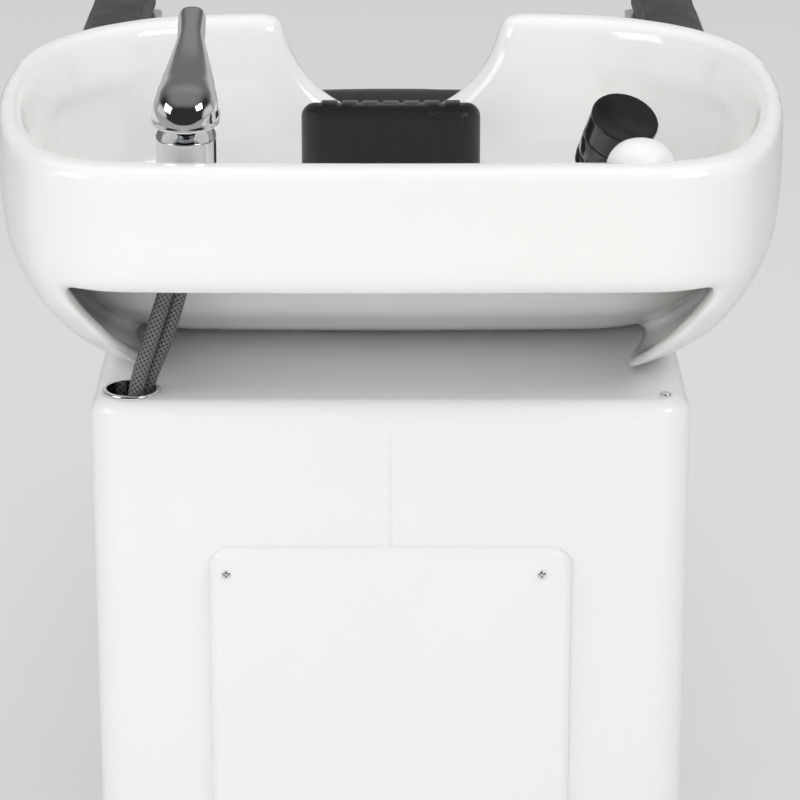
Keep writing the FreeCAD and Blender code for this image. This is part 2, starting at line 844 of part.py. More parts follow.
def hinge_parts():
    fixed = []
    moving = box(
        -hinge_plate_half_width, hinge_plate_half_width, hinge_y - hinge_base_half_depth,
        hinge_y + hinge_base_half_depth, relief_z - hinge_plate_thickness, relief_z,
    )
    bolts = []
    bore = hinge_shaft_radius + hinge_bore_gap
    half_knuckle = hinge_knuckle_width / 2
    inner = half_knuckle + hinge_ear_gap
    outer = inner + hinge_ear_thickness
    for side in (-1, 1):
        x = side * hinge_knuckle_x
        base = box(
            x - outer - hinge_base_end, x + outer + hinge_base_end, hinge_y - hinge_base_half_depth,
            hinge_y + hinge_base_half_depth, shelf_height, shelf_height + hinge_plate_thickness,
        )
        for start in (x - outer, x + inner):
            ear = cross_rod(start, start + hinge_ear_thickness, hinge_y, hinge_z, hinge_ear_radius)
            web = box(
                start, start + hinge_ear_thickness, hinge_y - hinge_ear_radius, hinge_y + hinge_ear_radius,
                shelf_height, hinge_z,
            )
            base = base.fuse(ear).fuse(web)
        base = base.cut(cross_rod(x - outer - overrun, x + outer + overrun, hinge_y, hinge_z, bore))
        for end in (x - outer - hinge_base_end / 2, x + outer + hinge_base_end / 2):
            base = base.cut(rod(
                end, hinge_y, shelf_height - overrun, shelf_height + overrun, hinge_bolt_radius - slip,
            ))
            head = rod(
                end, hinge_y, shelf_height + hinge_plate_thickness,
                shelf_height + hinge_plate_thickness + hinge_bolt_head, hinge_bolt_head_radius,
            )
            shank = rod(
                end, hinge_y, shelf_height, shelf_height + hinge_plate_thickness,
                hinge_bolt_radius - slip - rivet_gap,
            )
            bolts.append(head.fuse(shank))
        fixed.append(base.removeSplitter())
        knuckle = cross_rod(x - half_knuckle, x + half_knuckle, hinge_y, hinge_z, hinge_ear_radius)
        web = box(
            x - half_knuckle, x + half_knuckle, hinge_y - hinge_ear_radius, hinge_y + hinge_ear_radius,
            hinge_z, relief_z - hinge_plate_thickness,
        )
        moving = moving.fuse(knuckle).fuse(web)
        moving = moving.cut(cross_rod(
            x - half_knuckle - overrun, x + half_knuckle + overrun, hinge_y, hinge_z, bore,
        ))
    save("basin_hinge_brackets", group(fixed))
    save("basin_hinge_bolts", group(bolts))
    screws = []
    for x in (-hinge_bolt_spread, hinge_bolt_spread):
        moving = moving.cut(rod(x, hinge_y, relief_z - overrun, relief_z + overrun, hinge_bolt_radius + slip))
        under = relief_z - hinge_plate_thickness
        head = rod(x, hinge_y, under - hinge_bolt_head, under, hinge_bolt_head_radius)
        screws.append(head.fuse(rod(x, hinge_y, under, relief_z + hinge_bolt_depth, hinge_bolt_radius)))
    save("basin_hinge_plate", moving)
    save("basin_plate_screws", group(screws))
    save("basin_hinge_shaft", cross_rod(
        -hinge_shaft_half_length, hinge_shaft_half_length, hinge_y, hinge_z, hinge_shaft_radius,
    ))
    bumpers = []
    for x in (-bumper_x, bumper_x):
        for setback in (bumper_front_setback, bumper_rear_setback):
            bumpers.append(rod(x, front_y + setback, shelf_height, basin_base_z, bumper_radius))
    save("basin_bumpers", group(bumpers))


def waste_parts():
    flange = rod(0, drain_y, bowl_floor_z, bowl_floor_z + drain_flange_height, drain_flange_radius)
    flange_top = bowl_floor_z + drain_flange_height
    flange = flange.makeFillet(drain_flange_height / 2, edges_at(flange, "Z", flange_top))
    tube = rod(0, drain_y, bowl_floor_z - drain_tube_length, bowl_floor_z, drain_tube_radius)
    flange = flange.fuse(tube).cut(rod(
        0, drain_y, bowl_floor_z - drain_tube_length - overrun, bowl_floor_z + overrun, drain_throat_radius,
    ))
    save("drain_flange", flange)
    low = basin_base_z - drain_gasket_height
    gasket = rod(0, drain_y, low, basin_base_z, drain_gasket_radius)
    gasket = gasket.cut(rod(0, drain_y, low - overrun, basin_base_z + overrun, drain_tube_radius + slip))
    save("drain_gasket", gasket)
    nut_low = low - drain_nut_height
    nut = rod(0, drain_y, nut_low, low, drain_nut_radius)
    nut = nut.cut(rod(0, drain_y, nut_low - overrun, low + overrun, drain_tube_radius + rivet_gap))
    save("drain_nut", nut)
    trap_top = bowl_floor_z - drain_tube_length + drain_nut_height
    trap_low = trap_top - trap_height
    body = rod(0, drain_y, trap_low, trap_top, trap_radius)
    body = body.cut(rod(0, drain_y, trap_low - overrun, trap_top - drain_nut_height, trap_radius - trap_wall))
    body = body.cut(rod(0, drain_y, trap_low, trap_top + overrun, drain_tube_radius + slip))
    outlet_z = trap_top - trap_outlet_drop
    outlet = Part.makeCylinder(
        trap_outlet_radius, trap_outlet_length + trap_radius, vec(0, drain_y, outlet_z), vec(0, 1, 0),
    )
    bore = Part.makeCylinder(
        trap_outlet_radius - trap_wall, trap_outlet_length + trap_radius + overrun, vec(0, drain_y, outlet_z),
        vec(0, 1, 0),
    )
    core = rod(0, drain_y, trap_low, trap_top, trap_radius - trap_wall)
    collar = Part.makeCylinder(
        trap_collar_radius, trap_outlet_length + trap_radius - trap_spigot_length, vec(0, drain_y, outlet_z),
        vec(0, 1, 0),
    )
    body = body.fuse(outlet.fuse(collar).cut(core)).cut(bore)
    save("trap_body", body)
    cup = rod(0, drain_y, trap_low - trap_wall, trap_low + trap_cup_height, trap_cup_radius)
    cup = cup.cut(rod(0, drain_y, trap_low, trap_low + trap_cup_height + overrun, trap_radius + slip))
    save("trap_cup", cup)
    top = bowl_floor_z + drain_flange_height
    basket = rod(0, drain_y, top - strainer_depth, top, strainer_radius)
    basket = basket.fuse(rod(0, drain_y, top, top + strainer_rim_height, strainer_rim_radius))
    basket = basket.cut(rod(
        0, drain_y, top - strainer_depth + strainer_wall, top + overrun, strainer_radius - strainer_wall,
    ))
    for k in range(strainer_hole_count):
        turn = 2 * math.pi * k / strainer_hole_count
        basket = basket.cut(rod(
            strainer_hole_ring_radius * math.cos(turn), drain_y + strainer_hole_ring_radius * math.sin(turn),
            top - strainer_depth - overrun, top, strainer_hole_radius,
        ))
    knob_low = top - strainer_depth + strainer_wall
    basket = basket.fuse(rod(0, drain_y, knob_low, knob_low + strainer_knob_height, strainer_knob_radius))
    save("hair_strainer", basket)


def support_parts():
    top = rim_z - support_top_drop
    low = top - support_height
    start = front_y + support_setback
    end = start + support_depth
    block = prism([
        (start, low), (end, low), (end, top - support_fall), (start + support_depth / 3, top), (start, top),
    ], -support_half_width, support_half_width)
    block = block.makeFillet(support_corner, upright_edges(block))
    crest = [e for e in block.Edges if e.BoundBox.ZMin > low + support_height / 2]
    block = block.makeFillet(support_edge, crest)
    ribs = []
    rib_start = start + support_depth * support_rib_front_share
    rib_end = rib_start + support_depth * support_rib_depth_share
    third = start + support_depth / 3
    slope = support_fall / (end - third)
    for k in range(support_rib_count):
        x = (k - (support_rib_count - 1) / 2) * support_rib_pitch
        rib = prism([
            (rib_start, top - support_edge), (rib_end, top - support_edge - support_fall),
            (rib_end, top - slope * (rib_end - third) + support_rib_height),
            (third, top + support_rib_height), (rib_start, top + support_rib_height),
        ], x - support_rib_width / 2, x + support_rib_width / 2)
        ribs.append(rib)
    for rib in ribs:
        block = block.fuse(rib)
    pegs = []
    for x in (-peg_spread, peg_spread):
        y = front_y + peg_setback
        block = block.cut(rod(x, y, low - overrun, low + peg_length + peg_gap, peg_radius + peg_gap))
        pegs.append(rod(x, y, low - tray_plate_thickness, low + peg_length, peg_radius))
    save("head_support_pad", block)
    plate = box(
        -tray_plate_half_width, tray_plate_half_width, front_y + tray_plate_setback, front_y + tray_plate_end,
        low - tray_plate_thickness, low,
    )
    corners = upright_edges(plate)
    plate = plate.makeFillet(support_edge, corners)
    for peg in pegs:
        plate = plate.fuse(peg)
    save("head_support_plate", plate)
    post_y = front_y + support_post_setback
    foot = rod(0, post_y, bowl_floor_z, bowl_floor_z + support_foot_height, support_foot_radius)
    post = rod(0, post_y, bowl_floor_z, low - tray_plate_thickness, support_post_radius)
    save("head_support_post", foot.fuse(post))


def tap_parts():
    ring_top = deck_z + tap_ring_height
    body_top = ring_top + tap_height
    ring = rod(tap_x, tap_y, deck_z, ring_top, tap_ring_radius)
    ring = ring.makeFillet(tap_ring_height / 2, edges_at(ring, "Z", ring_top))
    ring = ring.cut(rod(tap_x, tap_y, deck_z - overrun, ring_top + overrun, tap_shank_radius + slip))
    save("tap_base_ring", ring)
    body = rod(tap_x, tap_y, ring_top, body_top, tap_radius)
    drop = (tap_radius + overrun) * math.tan(math.radians(tap_slope_deg))
    wedge = prism([
        (tap_y, body_top), (tap_y - tap_radius - overrun, body_top - drop),
        (tap_y - tap_radius - overrun, body_top + overrun), (tap_y, body_top + overrun),
    ], tap_x - 2 * tap_radius - overrun, tap_x + 2 * tap_radius + overrun)
    for turn in (-tap_swivel_deg, 0, tap_swivel_deg):
        notch = wedge.copy()
        notch.rotate(vec(tap_x, tap_y, 0), vec(0, 0, 1), turn)
        body = body.cut(notch)
    nut_low = deck_under_z - tap_nut_height
    body = body.fuse(rod(tap_x, tap_y, nut_low, ring_top, tap_shank_radius))
    save("tap_body", body)
    nut = rod(tap_x, tap_y, nut_low, deck_under_z, tap_nut_radius)
    nut = nut.cut(rod(tap_x, tap_y, nut_low - overrun, deck_under_z + overrun, tap_shank_radius + slip))
    stem = rod(tap_x, tap_y, body_top, body_top + stem_height, stem_radius)
    pin_bore = cross_rod(
        tap_x - lever_half_width - overrun, tap_x + lever_half_width + overrun, tap_y, lever_pivot_z,
        lever_pin_radius + lever_pin_gap,
    )
    save("tap_stem", stem.cut(pin_bore))
    save("tap_lever_pin", cross_rod(
        tap_x - lever_pin_half_length, tap_x + lever_pin_half_length, tap_y, lever_pivot_z, lever_pin_radius,
    ))
    wires = []
    base = body_top + lever_bottom_gap
    for place, width, low, rise in zip(
        lever_place_shares, lever_width_shares, lever_low_shares, lever_height_shares
    ):
        reach = lever_reach if place > 0 else lever_front
        half = lever_half_width * width
        wire = soft_section(
            tap_y + place * reach, base + low * lever_tip_rise, half, lever_height * rise, lever_crown * rise,
            half * lever_edge_share,
        )
        wire.translate(vec(tap_x, 0, 0))
        wires.append(wire)
    lever = Part.makeLoft(wires, True, False)
    lever = lever.cut(rod(tap_x, tap_y, base - overrun, base + lever_cavity_height, lever_cavity_radius))
    lever = lever.cut(pin_bore)
    save("tap_lever", lever)
    return body, nut


def shower_parts(tap_nut):
    flange = rod(dock_x, dock_y, deck_z, deck_z + bush_flange_height, bush_flange_radius)
    flange = flange.makeFillet(bush_flange_height / 2, edges_at(flange, "Z", deck_z + bush_flange_height))
    low = deck_under_z - bush_nut_height
    flange = flange.fuse(rod(dock_x, dock_y, low, deck_z, bush_radius))
    flange = flange.cut(rod(dock_x, dock_y, low - overrun, deck_z + overrun, bush_bore_radius))
    save("shower_dock_bush", flange)
    nut = rod(dock_x, dock_y, low, deck_under_z, bush_nut_radius)
    nut = nut.cut(rod(dock_x, dock_y, low - overrun, deck_under_z + overrun, bush_radius + slip))
    save("deck_nuts", group([tap_nut, nut]))
    lean = vec(head_lean_x, head_lean_y, head_lean_z)
    lean.normalize()
    back = vec(head_x, front_y + head_setback, rim_z)
    cup_place = back - lean * head_length
    head = Part.makeCylinder(head_radius, head_length, cup_place, lean)
    top_edges = [e for e in head.Edges if (e.CenterOfMass - back).Length < head_radius / 2]
    head = head.makeFillet(head_plate_thickness, top_edges)
    ring_place = cup_place - lean * head_ring_width
    ring = Part.makeCylinder(head_radius - head_ring_inset, head_ring_width, ring_place, lean)
    cup_low = ring_place - lean * head_cup_length
    cup = Part.makeCylinder(head_radius, head_cup_length, cup_low, lean)
    plate = Part.makeCylinder(head_radius - head_plate_inset, head_plate_thickness, cup_low, lean)
    cup = cup.cut(plate)
    save("shower_head", head)
    save("shower_head_rim", cup.fuse(ring))
    save("shower_spray_plate", plate)
    handle_top = deck_z + handle_rise
    handle = rod(dock_x, dock_y, deck_z - handle_tail, handle_top, handle_radius)
    start = vec(dock_x, dock_y, handle_top)
    aim = back - lean * (head_length / 2)
    step = aim - start
    neck = Part.makeCylinder(neck_radius, step.Length, start, step)
    knuckle = Part.makeSphere(handle_radius, start)
    handle = handle.fuse(knuckle).fuse(neck).cut(head).cut(ring).cut(cup).cut(plate)
    solids = sorted(handle.Solids, key=lambda s: s.Volume)
    nipple_top = deck_z - handle_tail
    nipple = rod(dock_x, dock_y, nipple_top - handle_nipple_length, nipple_top, handle_nipple_radius)
    save("shower_handle", solids[-1].fuse(nipple))
    rest = rod(rest_x, front_y + rest_setback, deck_z, deck_z + rest_height, rest_radius)
    save("shower_rest_dome", rest.makeFillet(rest_dome, edges_at(rest, "Z", deck_z + rest_height)))


def hose_parts(tap_body, tap_nut):
    ferrules = []
    nuts = []
    valves = []
    bottoms = []
    for name, shares in (("cold_supply_hose", cold_hose_route), ("hot_supply_hose", hot_hose_route)):
        route = hose_points(shares)
        make_hose(name, route)
        up = direction(route[1], route[0])
        down = direction(route[-2], route[-1])
        ferrules.append(fitting(route[0], up, hose_nut_length, hose_nut_radius).cut(tap_body).cut(tap_nut))
        nuts.append(fitting(route[-1], down, hose_nut_length, hose_nut_radius))
        x, y, z = route[-1]
        top = z - hose_nut_length
        low = top - valve_length
        valve = rod(x, y, low, top, valve_radius)
        valves.append(valve.fuse(rod(x, y, low - valve_tail_length, low, valve_tail_radius)))
        bottoms.append((x, y, top - valve_length * valve_drop_share))
        print(name, "inlet at", round(x, 2), round(y, 2), "from", round(low, 2), "down", valve_tail_length)
    save("hose_ferrules", group(ferrules))
    save("hose_nuts", group(nuts))
    save("stop_valves", group(valves))
    wall_x = cabinet_wall - cabinet_half_width
    reach = valve_radius + valve_plate_margin
    plate_z = min(z for x, y, z in bottoms)
    near_x = min(x for x, y, z in bottoms) - reach
    far_x = max(x for x, y, z in bottoms) + reach
    low_y = min(y for x, y, z in bottoms) - reach
    high_y = max(y for x, y, z in bottoms) + reach
    flange_y = cabinet_front_y + cabinet_corner
    plate_top = plate_z + valve_plate_thickness
    plate = box(near_x, far_x, low_y, high_y, plate_z, plate_top)
    plate = plate.fuse(box(wall_x, near_x, flange_y, high_y, plate_z, plate_top))
    plate = plate.fuse(box(
        wall_x, wall_x + valve_plate_thickness, flange_y, high_y, plate_z - valve_flange_height, plate_z,
    ))
    for x, y, z in bottoms:
        plate = plate.cut(rod(x, y, plate_z - overrun, plate_z + overrun, valve_radius + slip))
    save("valve_bracket", plate.removeSplitter())


def couch_parts():
    rise = math.sin(back_angle)
    run = math.cos(back_angle)

    def incline(along, out):
        """A place along the back, measured up it from the fold, and square out from the board's top."""
        return (fold_y - along * run + out * rise, seat_board_top + along * rise + out * run)

    under = board_thickness / run
    tube_drop = (board_thickness + tube_height) / run
    board_end = incline(back_length, 0)
    board_low = incline(back_length, -board_thickness)
    save("back_board", prism([
        (fold_y, seat_board_top), (fold_y, seat_board_top - under), board_low, board_end,
    ], -board_half_width, board_half_width))
    foot_end_y = front_y + bed_length
    tube_end_y = foot_end_y - seat_tube_end_gap
    seat_end = leg_start_y - cushion_gap / 2
    leg_begin = leg_start_y + cushion_gap / 2
    seat_board = box(-board_half_width, board_half_width, fold_y, seat_end, seat_tube_top, seat_board_top)
    leg_board = box(
        -board_half_width, board_half_width, leg_begin, foot_end_y - leg_board_end_gap,
        seat_tube_top, seat_board_top,
    )
    screws = []
    holes = []
    screw_places = [
        fold_y + board_screw_inset,
        leg_start_y - board_screw_rear_inset,
        tube_end_y - board_screw_inset,
    ]
    for x in (-rail_centre, rail_centre):
        for y in screw_places:
            head = rod(x, y, seat_tube_bottom - board_screw_head, seat_tube_bottom, board_screw_radius)
            tip = seat_board_top - board_screw_stop
            screws.append(head.fuse(rod(x, y, seat_tube_bottom, tip, board_screw_shank_radius)))
            holes.append(rod(
                x, y, seat_tube_bottom - overrun, tip + slip, board_screw_shank_radius + rivet_gap,
            ))
    for hole in holes:
        seat_board = seat_board.cut(hole)
        leg_board = leg_board.cut(hole)
    save("seat_board", seat_board)
    save("leg_board", leg_board)
    reach = back_length - back_tube_end_gap
    top_out = incline(reach, -board_thickness)
    low_out = incline(reach, -board_thickness - tube_height)
    back_tubes = []
    back_posts = []
    seat_tubes = []
    seat_posts = []
    half = tube_width / 2

    def tube_under(y):
        return seat_board_top - tube_drop + (fold_y - y) * math.tan(back_angle)

    for side in (-1, 1):
        x = side * rail_centre
        back_tubes.append(prism([
            (fold_y, seat_board_top - under), (fold_y, seat_board_top - tube_drop), low_out, top_out,
        ], x - half, x + half))
        back_posts.append(prism([
            (back_post_y - half, rail_top), (back_post_y + half, rail_top),
            (back_post_y + half, tube_under(back_post_y + half)),
            (back_post_y - half, tube_under(back_post_y - half)),
        ], x - half, x + half))
        tube = box(x - half, x + half, fold_y, tube_end_y, seat_tube_bottom, seat_tube_top)
        for hole in holes:
            tube = tube.cut(hole)
        seat_tubes.append(tube)
        for y in (seat_post_y, leg_start_y - seat_post_rear_inset):
            seat_posts.append(box(x - half, x + half, y - half, y + half, rail_top, seat_tube_bottom))
    save("back_side_tubes", group(back_tubes))
    save("seat_side_tubes", group(seat_tubes))
    save("couch_posts", group(back_posts + seat_posts))
    span = rail_centre - half
    cross_at = back_length * back_cross_share
    tube_out = -board_thickness - tube_height
    corners = [
        incline(cross_at, -board_thickness), incline(cross_at, tube_out),
        incline(cross_at - tube_width, tube_out), incline(cross_at - tube_width, -board_thickness),
    ]
    ties = [prism(corners, -span, span)]
    for y in (fold_y + seat_cross_inset, foot_end_y - leg_cross_end_gap):
        ties.append(box(-span, span, y - half, y + half, seat_tube_bottom, seat_tube_top))
    save("couch_cross_tubes", group(ties))
    fold_retreat = (cushion_height + cushion_crown) * math.tan(back_angle / 2) + cushion_gap
    back_pad = cushion(
        cushion_half_width, back_length - fold_retreat, cushion_height, cushion_crown, cushion_edge,
        cushion_draw, cushion_end_round,
    )
    back_pad.rotate(vec(0, 0, 0), vec(0, 0, 1), 180)
    back_pad.rotate(vec(0, 0, 0), vec(1, 0, 0), -back_rise_deg)
    start = incline(fold_retreat, 0)
    back_pad.translate(vec(0, start[0], start[1]))
    save("back_cushion", back_pad)
    seat_start = fold_y + fold_retreat
    seat_pad = cushion(
        cushion_half_width, seat_end - seat_start, cushion_height, cushion_crown, cushion_edge,
        cushion_draw, cushion_end_round,
    )
    seat_pad.translate(vec(0, seat_start, seat_board_top))
    save("seat_cushion", seat_pad)
    leg_pad = cushion(
        cushion_half_width, foot_end_y - leg_begin, cushion_height, cushion_crown, cushion_edge,
        cushion_draw, cushion_end_round,
    )
    leg_pad.translate(vec(0, leg_begin, seat_board_top))
    save("leg_cushion", leg_pad)
    save("board_screws", group(screws))


def armrest_parts():
    base_top = armrest_top - armrest_pad_height - armrest_pad_crown
    base_low = base_top - armrest_base_thickness
    bases = []
    pads = []
    outriggers = []
    uprights = []
    for side in (-1, 1):
        x_low = min(side * armrest_inner, side * (armrest_inner + armrest_width))
        x_high = max(side * armrest_inner, side * (armrest_inner + armrest_width))
        base = box(
            x_low - armrest_base_inset, x_high + armrest_base_inset, armrest_start_y - armrest_base_inset,
            armrest_start_y + armrest_length + armrest_base_inset, base_low, base_top,
        )
        base = base.makeFillet(armrest_base_thickness, upright_edges(base))
        bases.append(base)
        pad = cushion(
            armrest_width / 2, armrest_length, armrest_pad_height, armrest_pad_crown, armrest_pad_edge, 0,
            armrest_end_round,
        )
        pad.translate(vec((x_low + x_high) / 2, armrest_start_y, base_top))
        pads.append(pad)
        for y, height in ((back_post_y, front_outrigger_height), (seat_post_y, rear_outrigger_height)):
            inner = side * (rail_centre + tube_width / 2)
            plate_in = side * upright_inner
            plate_out = side * (upright_inner + upright_thickness)
            outriggers.append(box(
                min(inner, plate_in), max(inner, plate_in), y - outrigger_width / 2, y + outrigger_width / 2,
                height - outrigger_height, height,
            ))
            uprights.append(box(
                min(plate_in, plate_out), max(plate_in, plate_out),
                y - upright_width / 2, y + upright_width / 2,
                height - outrigger_height, base_low,
            ))
    save("armrest_bases", group(bases))
    save("armrest_pads", group(pads))
    save("armrest_outriggers", group(outriggers))
    save("armrest_uprights", group(uprights))


os.makedirs("parts", exist_ok=True)
cabinet_parts()
frame_parts()
save("basin", make_basin())
hinge_parts()
waste_parts()
support_parts()
tap_body, tap_nut = tap_parts()
shower_parts(tap_nut)
hose_parts(tap_body, tap_nut)
couch_parts()
armrest_parts()
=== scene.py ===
import json
import math

import bmesh
import bpy
import numpy as np
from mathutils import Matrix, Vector
from mathutils.bvhtree import BVHTree


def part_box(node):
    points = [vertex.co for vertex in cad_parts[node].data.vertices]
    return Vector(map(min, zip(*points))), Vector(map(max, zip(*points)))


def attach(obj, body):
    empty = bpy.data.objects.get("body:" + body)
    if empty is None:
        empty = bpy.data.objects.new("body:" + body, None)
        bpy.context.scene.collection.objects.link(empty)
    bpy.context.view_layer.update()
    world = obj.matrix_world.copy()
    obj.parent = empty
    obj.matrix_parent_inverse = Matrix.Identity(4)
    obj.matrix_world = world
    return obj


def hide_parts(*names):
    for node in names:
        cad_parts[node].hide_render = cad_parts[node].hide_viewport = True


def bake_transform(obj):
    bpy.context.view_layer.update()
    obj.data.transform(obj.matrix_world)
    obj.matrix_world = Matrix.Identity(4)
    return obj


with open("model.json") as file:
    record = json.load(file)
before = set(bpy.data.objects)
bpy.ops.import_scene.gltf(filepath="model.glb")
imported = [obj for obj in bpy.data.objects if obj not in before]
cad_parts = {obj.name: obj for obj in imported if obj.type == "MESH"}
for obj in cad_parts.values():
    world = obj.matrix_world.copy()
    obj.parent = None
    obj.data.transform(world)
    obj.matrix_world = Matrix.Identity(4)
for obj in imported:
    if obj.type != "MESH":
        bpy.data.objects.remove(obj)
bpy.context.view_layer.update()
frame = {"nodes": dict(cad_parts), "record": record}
scene = bpy.context.scene
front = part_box("basin")[0].y  # the apron's face, where setbacks start
print("stage: frame loaded")


# Camera, at the angle that the basin end is looked down on

eye = {"across": 0.0075, "along": -3.325, "height": 1.558, "pitch": 71.3, "lens": 152.6, "sensor": 36.0}


def placed(name, data):
    thing = bpy.data.objects.new(name, data)
    scene.collection.objects.link(thing)
    return thing


def placeCamera():
    data = bpy.data.cameras.new("camera")
    data.lens = eye["lens"]
    data.sensor_width = eye["sensor"]
    data.clip_end = 60
    camera = placed("camera", data)
    camera.location = (eye["across"], eye["along"], eye["height"])
    camera.rotation_euler = (math.radians(eye["pitch"]), 0, 0)
    scene.camera = camera


placeCamera()


# Shader tools

def layer(tree):
    # a function that lays nodes in a tree: values go to its sockets, settings to the node
    def lay(kind, values=None, **settings):
        made = tree.nodes.new(kind)
        for key, value in settings.items():
            setattr(made, key, value)
        for key, value in (values or {}).items():
            if isinstance(value, bpy.types.NodeSocket):
                tree.links.new(value, made.inputs[key])
            else:
                made.inputs[key].default_value = value
        return made

    return lay


class Wire:
    # one output socket, so that sums on it become Math nodes
    def __init__(self, recipe, socket):
        self.recipe = recipe
        self.socket = socket

    def join(self, operation, other, flip=False):
        first, second = (other, self) if flip else (self, other)
        return self.recipe.node("ShaderNodeMath", {"operation": operation}, {0: first, 1: second})

    def __add__(self, other):
        return self.join("ADD", other)

    def __radd__(self, other):
        return self.join("ADD", other, True)

    def __sub__(self, other):
        return self.join("SUBTRACT", other)

    def __rsub__(self, other):
        return self.join("SUBTRACT", other, True)

    def __mul__(self, other):
        return self.join("MULTIPLY", other)

    def __rmul__(self, other):
        return self.join("MULTIPLY", other, True)

    def most(self, other):
        return self.join("MAXIMUM", other)

    def wave(self):
        return self.join("SINE", 0)


class Recipe:
    # one material with a Principled shader, its fixed values set on the sockets
    def __init__(self, name, **fixed):
        self.material = bpy.data.materials.new(name)
        self.material.use_nodes = True
        self.tree = self.material.node_tree
        self.shader = self.tree.nodes["Principled BSDF"]
        for key, value in fixed.items():
            self.shader.inputs[key.replace("_", " ")].default_value = value
        if "Base_Color" in fixed:
            self.material.diffuse_color = fixed["Base_Color"]

    def node(self, kind, settings=None, values=None, out=0):
        plain = {key: value.socket if isinstance(value, Wire) else value
                 for key, value in (values or {}).items()}
        return Wire(self, layer(self.tree)(kind, plain, **(settings or {})).outputs[out])

    def place(self, scale=(1, 1, 1), source="Object"):
        spot = self.node("ShaderNodeTexCoord", out=source)
        return self.node("ShaderNodeMapping", None, {"Vector": spot, "Scale": scale})

    def noise(self, spot, scale, detail=3, roughness=0.5):
        values = {"Vector": spot, "Scale": scale, "Detail": detail, "Roughness": roughness}
        return self.node("ShaderNodeTexNoise", None, values)

    def cells(self, spot, scale, feature="F1"):
        values = {"Vector": spot, "Scale": scale}
        return self.node("ShaderNodeTexVoronoi", {"feature": feature}, values, "Distance")

    def span(self, wire, low, high, newLow=0.0, newHigh=1.0):
        values = {"Value": wire, "From Min": low, "From Max": high, "To Min": newLow, "To Max": newHigh}
        return self.node("ShaderNodeMapRange", None, values)

    def mix(self, wire, first, second):
        return self.node("ShaderNodeMix", {"data_type": "RGBA"}, {0: wire, 6: first, 7: second}, 2)

    def bump(self, height, distance, strength=1.0, under=None):
        values = {"Height": height, "Distance": distance, "Strength": strength}
        if under:
            values["Normal"] = under
        return self.node("ShaderNodeBump", None, values)

    def done(self, colour, roughness, normal):
        for name, wire in (("Base Color", colour), ("Roughness", roughness), ("Normal", normal)):
            if wire:
                self.tree.links.new(wire.socket, self.shader.inputs[name])
        return self.material

    def axes(self, spot):
        parts = layer(self.tree)("ShaderNodeSeparateXYZ", {0: spot.socket})
        return [Wire(self, socket) for socket in parts.outputs]


def tone(red, green, blue):
    return (red, green, blue, 1.0)


# Finishes

def glazeFinish():
    paint = {"body": tone(0.905, 0.898, 0.888), "warm": tone(0.892, 0.883, 0.866), "roughness": 0.055}
    made = Recipe("whiteGlaze", Base_Color=paint["body"], Roughness=paint["roughness"], Coat_Weight=0.35,
                  Coat_Roughness=0.03, Specular_IOR_Level=0.55)
    spot = made.place()
    cloud = made.noise(spot, 3.2, 2)
    colour = made.mix(made.span(cloud, 0.42, 0.72), paint["body"], paint["warm"])
    gloss = made.span(made.noise(spot, 26, 4), 0.35, 0.75, 0.045, 0.085)
    pinholes = made.span(made.cells(spot, 95), 0.0, 0.05)
    ripple = made.bump(made.noise(spot, 17, 2, 0.4), 0.0007, 0.35)
    return made.done(colour, gloss, made.bump(pinholes, 0.00008, 0.3, ripple))


def gelcoatFinish():
    paint = {"body": tone(0.875, 0.879, 0.893), "dull": tone(0.85, 0.854, 0.864)}
    made = Recipe("whiteGelcoat", Base_Color=paint["body"], Roughness=0.16, Coat_Weight=0.25,
                  Coat_Roughness=0.06)
    spot = made.place()
    cloud = made.noise(spot, 2.4, 3)
    colour = made.mix(made.span(cloud, 0.4, 0.75), paint["body"], paint["dull"])
    rub = made.span(made.noise(made.place((1, 1, 0.25)), 38, 5, 0.6), 0.45, 0.8, 0.13, 0.27)
    waves = made.bump(made.noise(spot, 9, 2, 0.45), 0.0012, 0.25)
    return made.done(colour, rub, made.bump(made.noise(spot, 210, 2, 0.5), 0.00006, 0.35, waves))


def chromeFinish():
    made = Recipe("polishedChrome", Base_Color=tone(0.80, 0.81, 0.82), Metallic=1.0, Roughness=0.045)
    spot = made.place()
    spots = made.span(made.cells(spot, 140), 0.03, 0.10, 0.16, 0.04)
    smear = made.span(made.noise(spot, 40, 4), 0.5, 0.8, 0.0, 0.07)
    return made.done(None, spots + smear, made.bump(made.noise(spot, 60, 2), 0.00006, 0.25))


def metalFinish(name, paint, dark, low, high, stretch=(1, 1, 1), scale=90.0):
    made = Recipe(name, Base_Color=paint, Metallic=1.0, Roughness=(low + high) / 2)
    spot = made.place(stretch)
    grain = made.noise(spot, scale, 5, 0.6)
    colour = made.mix(made.span(grain, 0.35, 0.7), paint, dark)
    return made.done(colour, made.span(grain, 0.3, 0.7, low, high), made.bump(grain, 0.00008, 0.4))


def powderFinish():
    paint = {"body": tone(0.035, 0.035, 0.037), "dust": tone(0.065, 0.063, 0.060)}
    made = Recipe("blackPowderCoat", Base_Color=paint["body"], Roughness=0.42)
    spot = made.place()
    cloud = made.noise(spot, 11, 4)
    colour = made.mix(made.span(cloud, 0.5, 0.85), paint["body"], paint["dust"])
    pebbles = made.bump(made.cells(spot, 900), 0.00012, 0.5)
    return made.done(colour, made.span(cloud, 0.3, 0.75, 0.36, 0.52), pebbles)


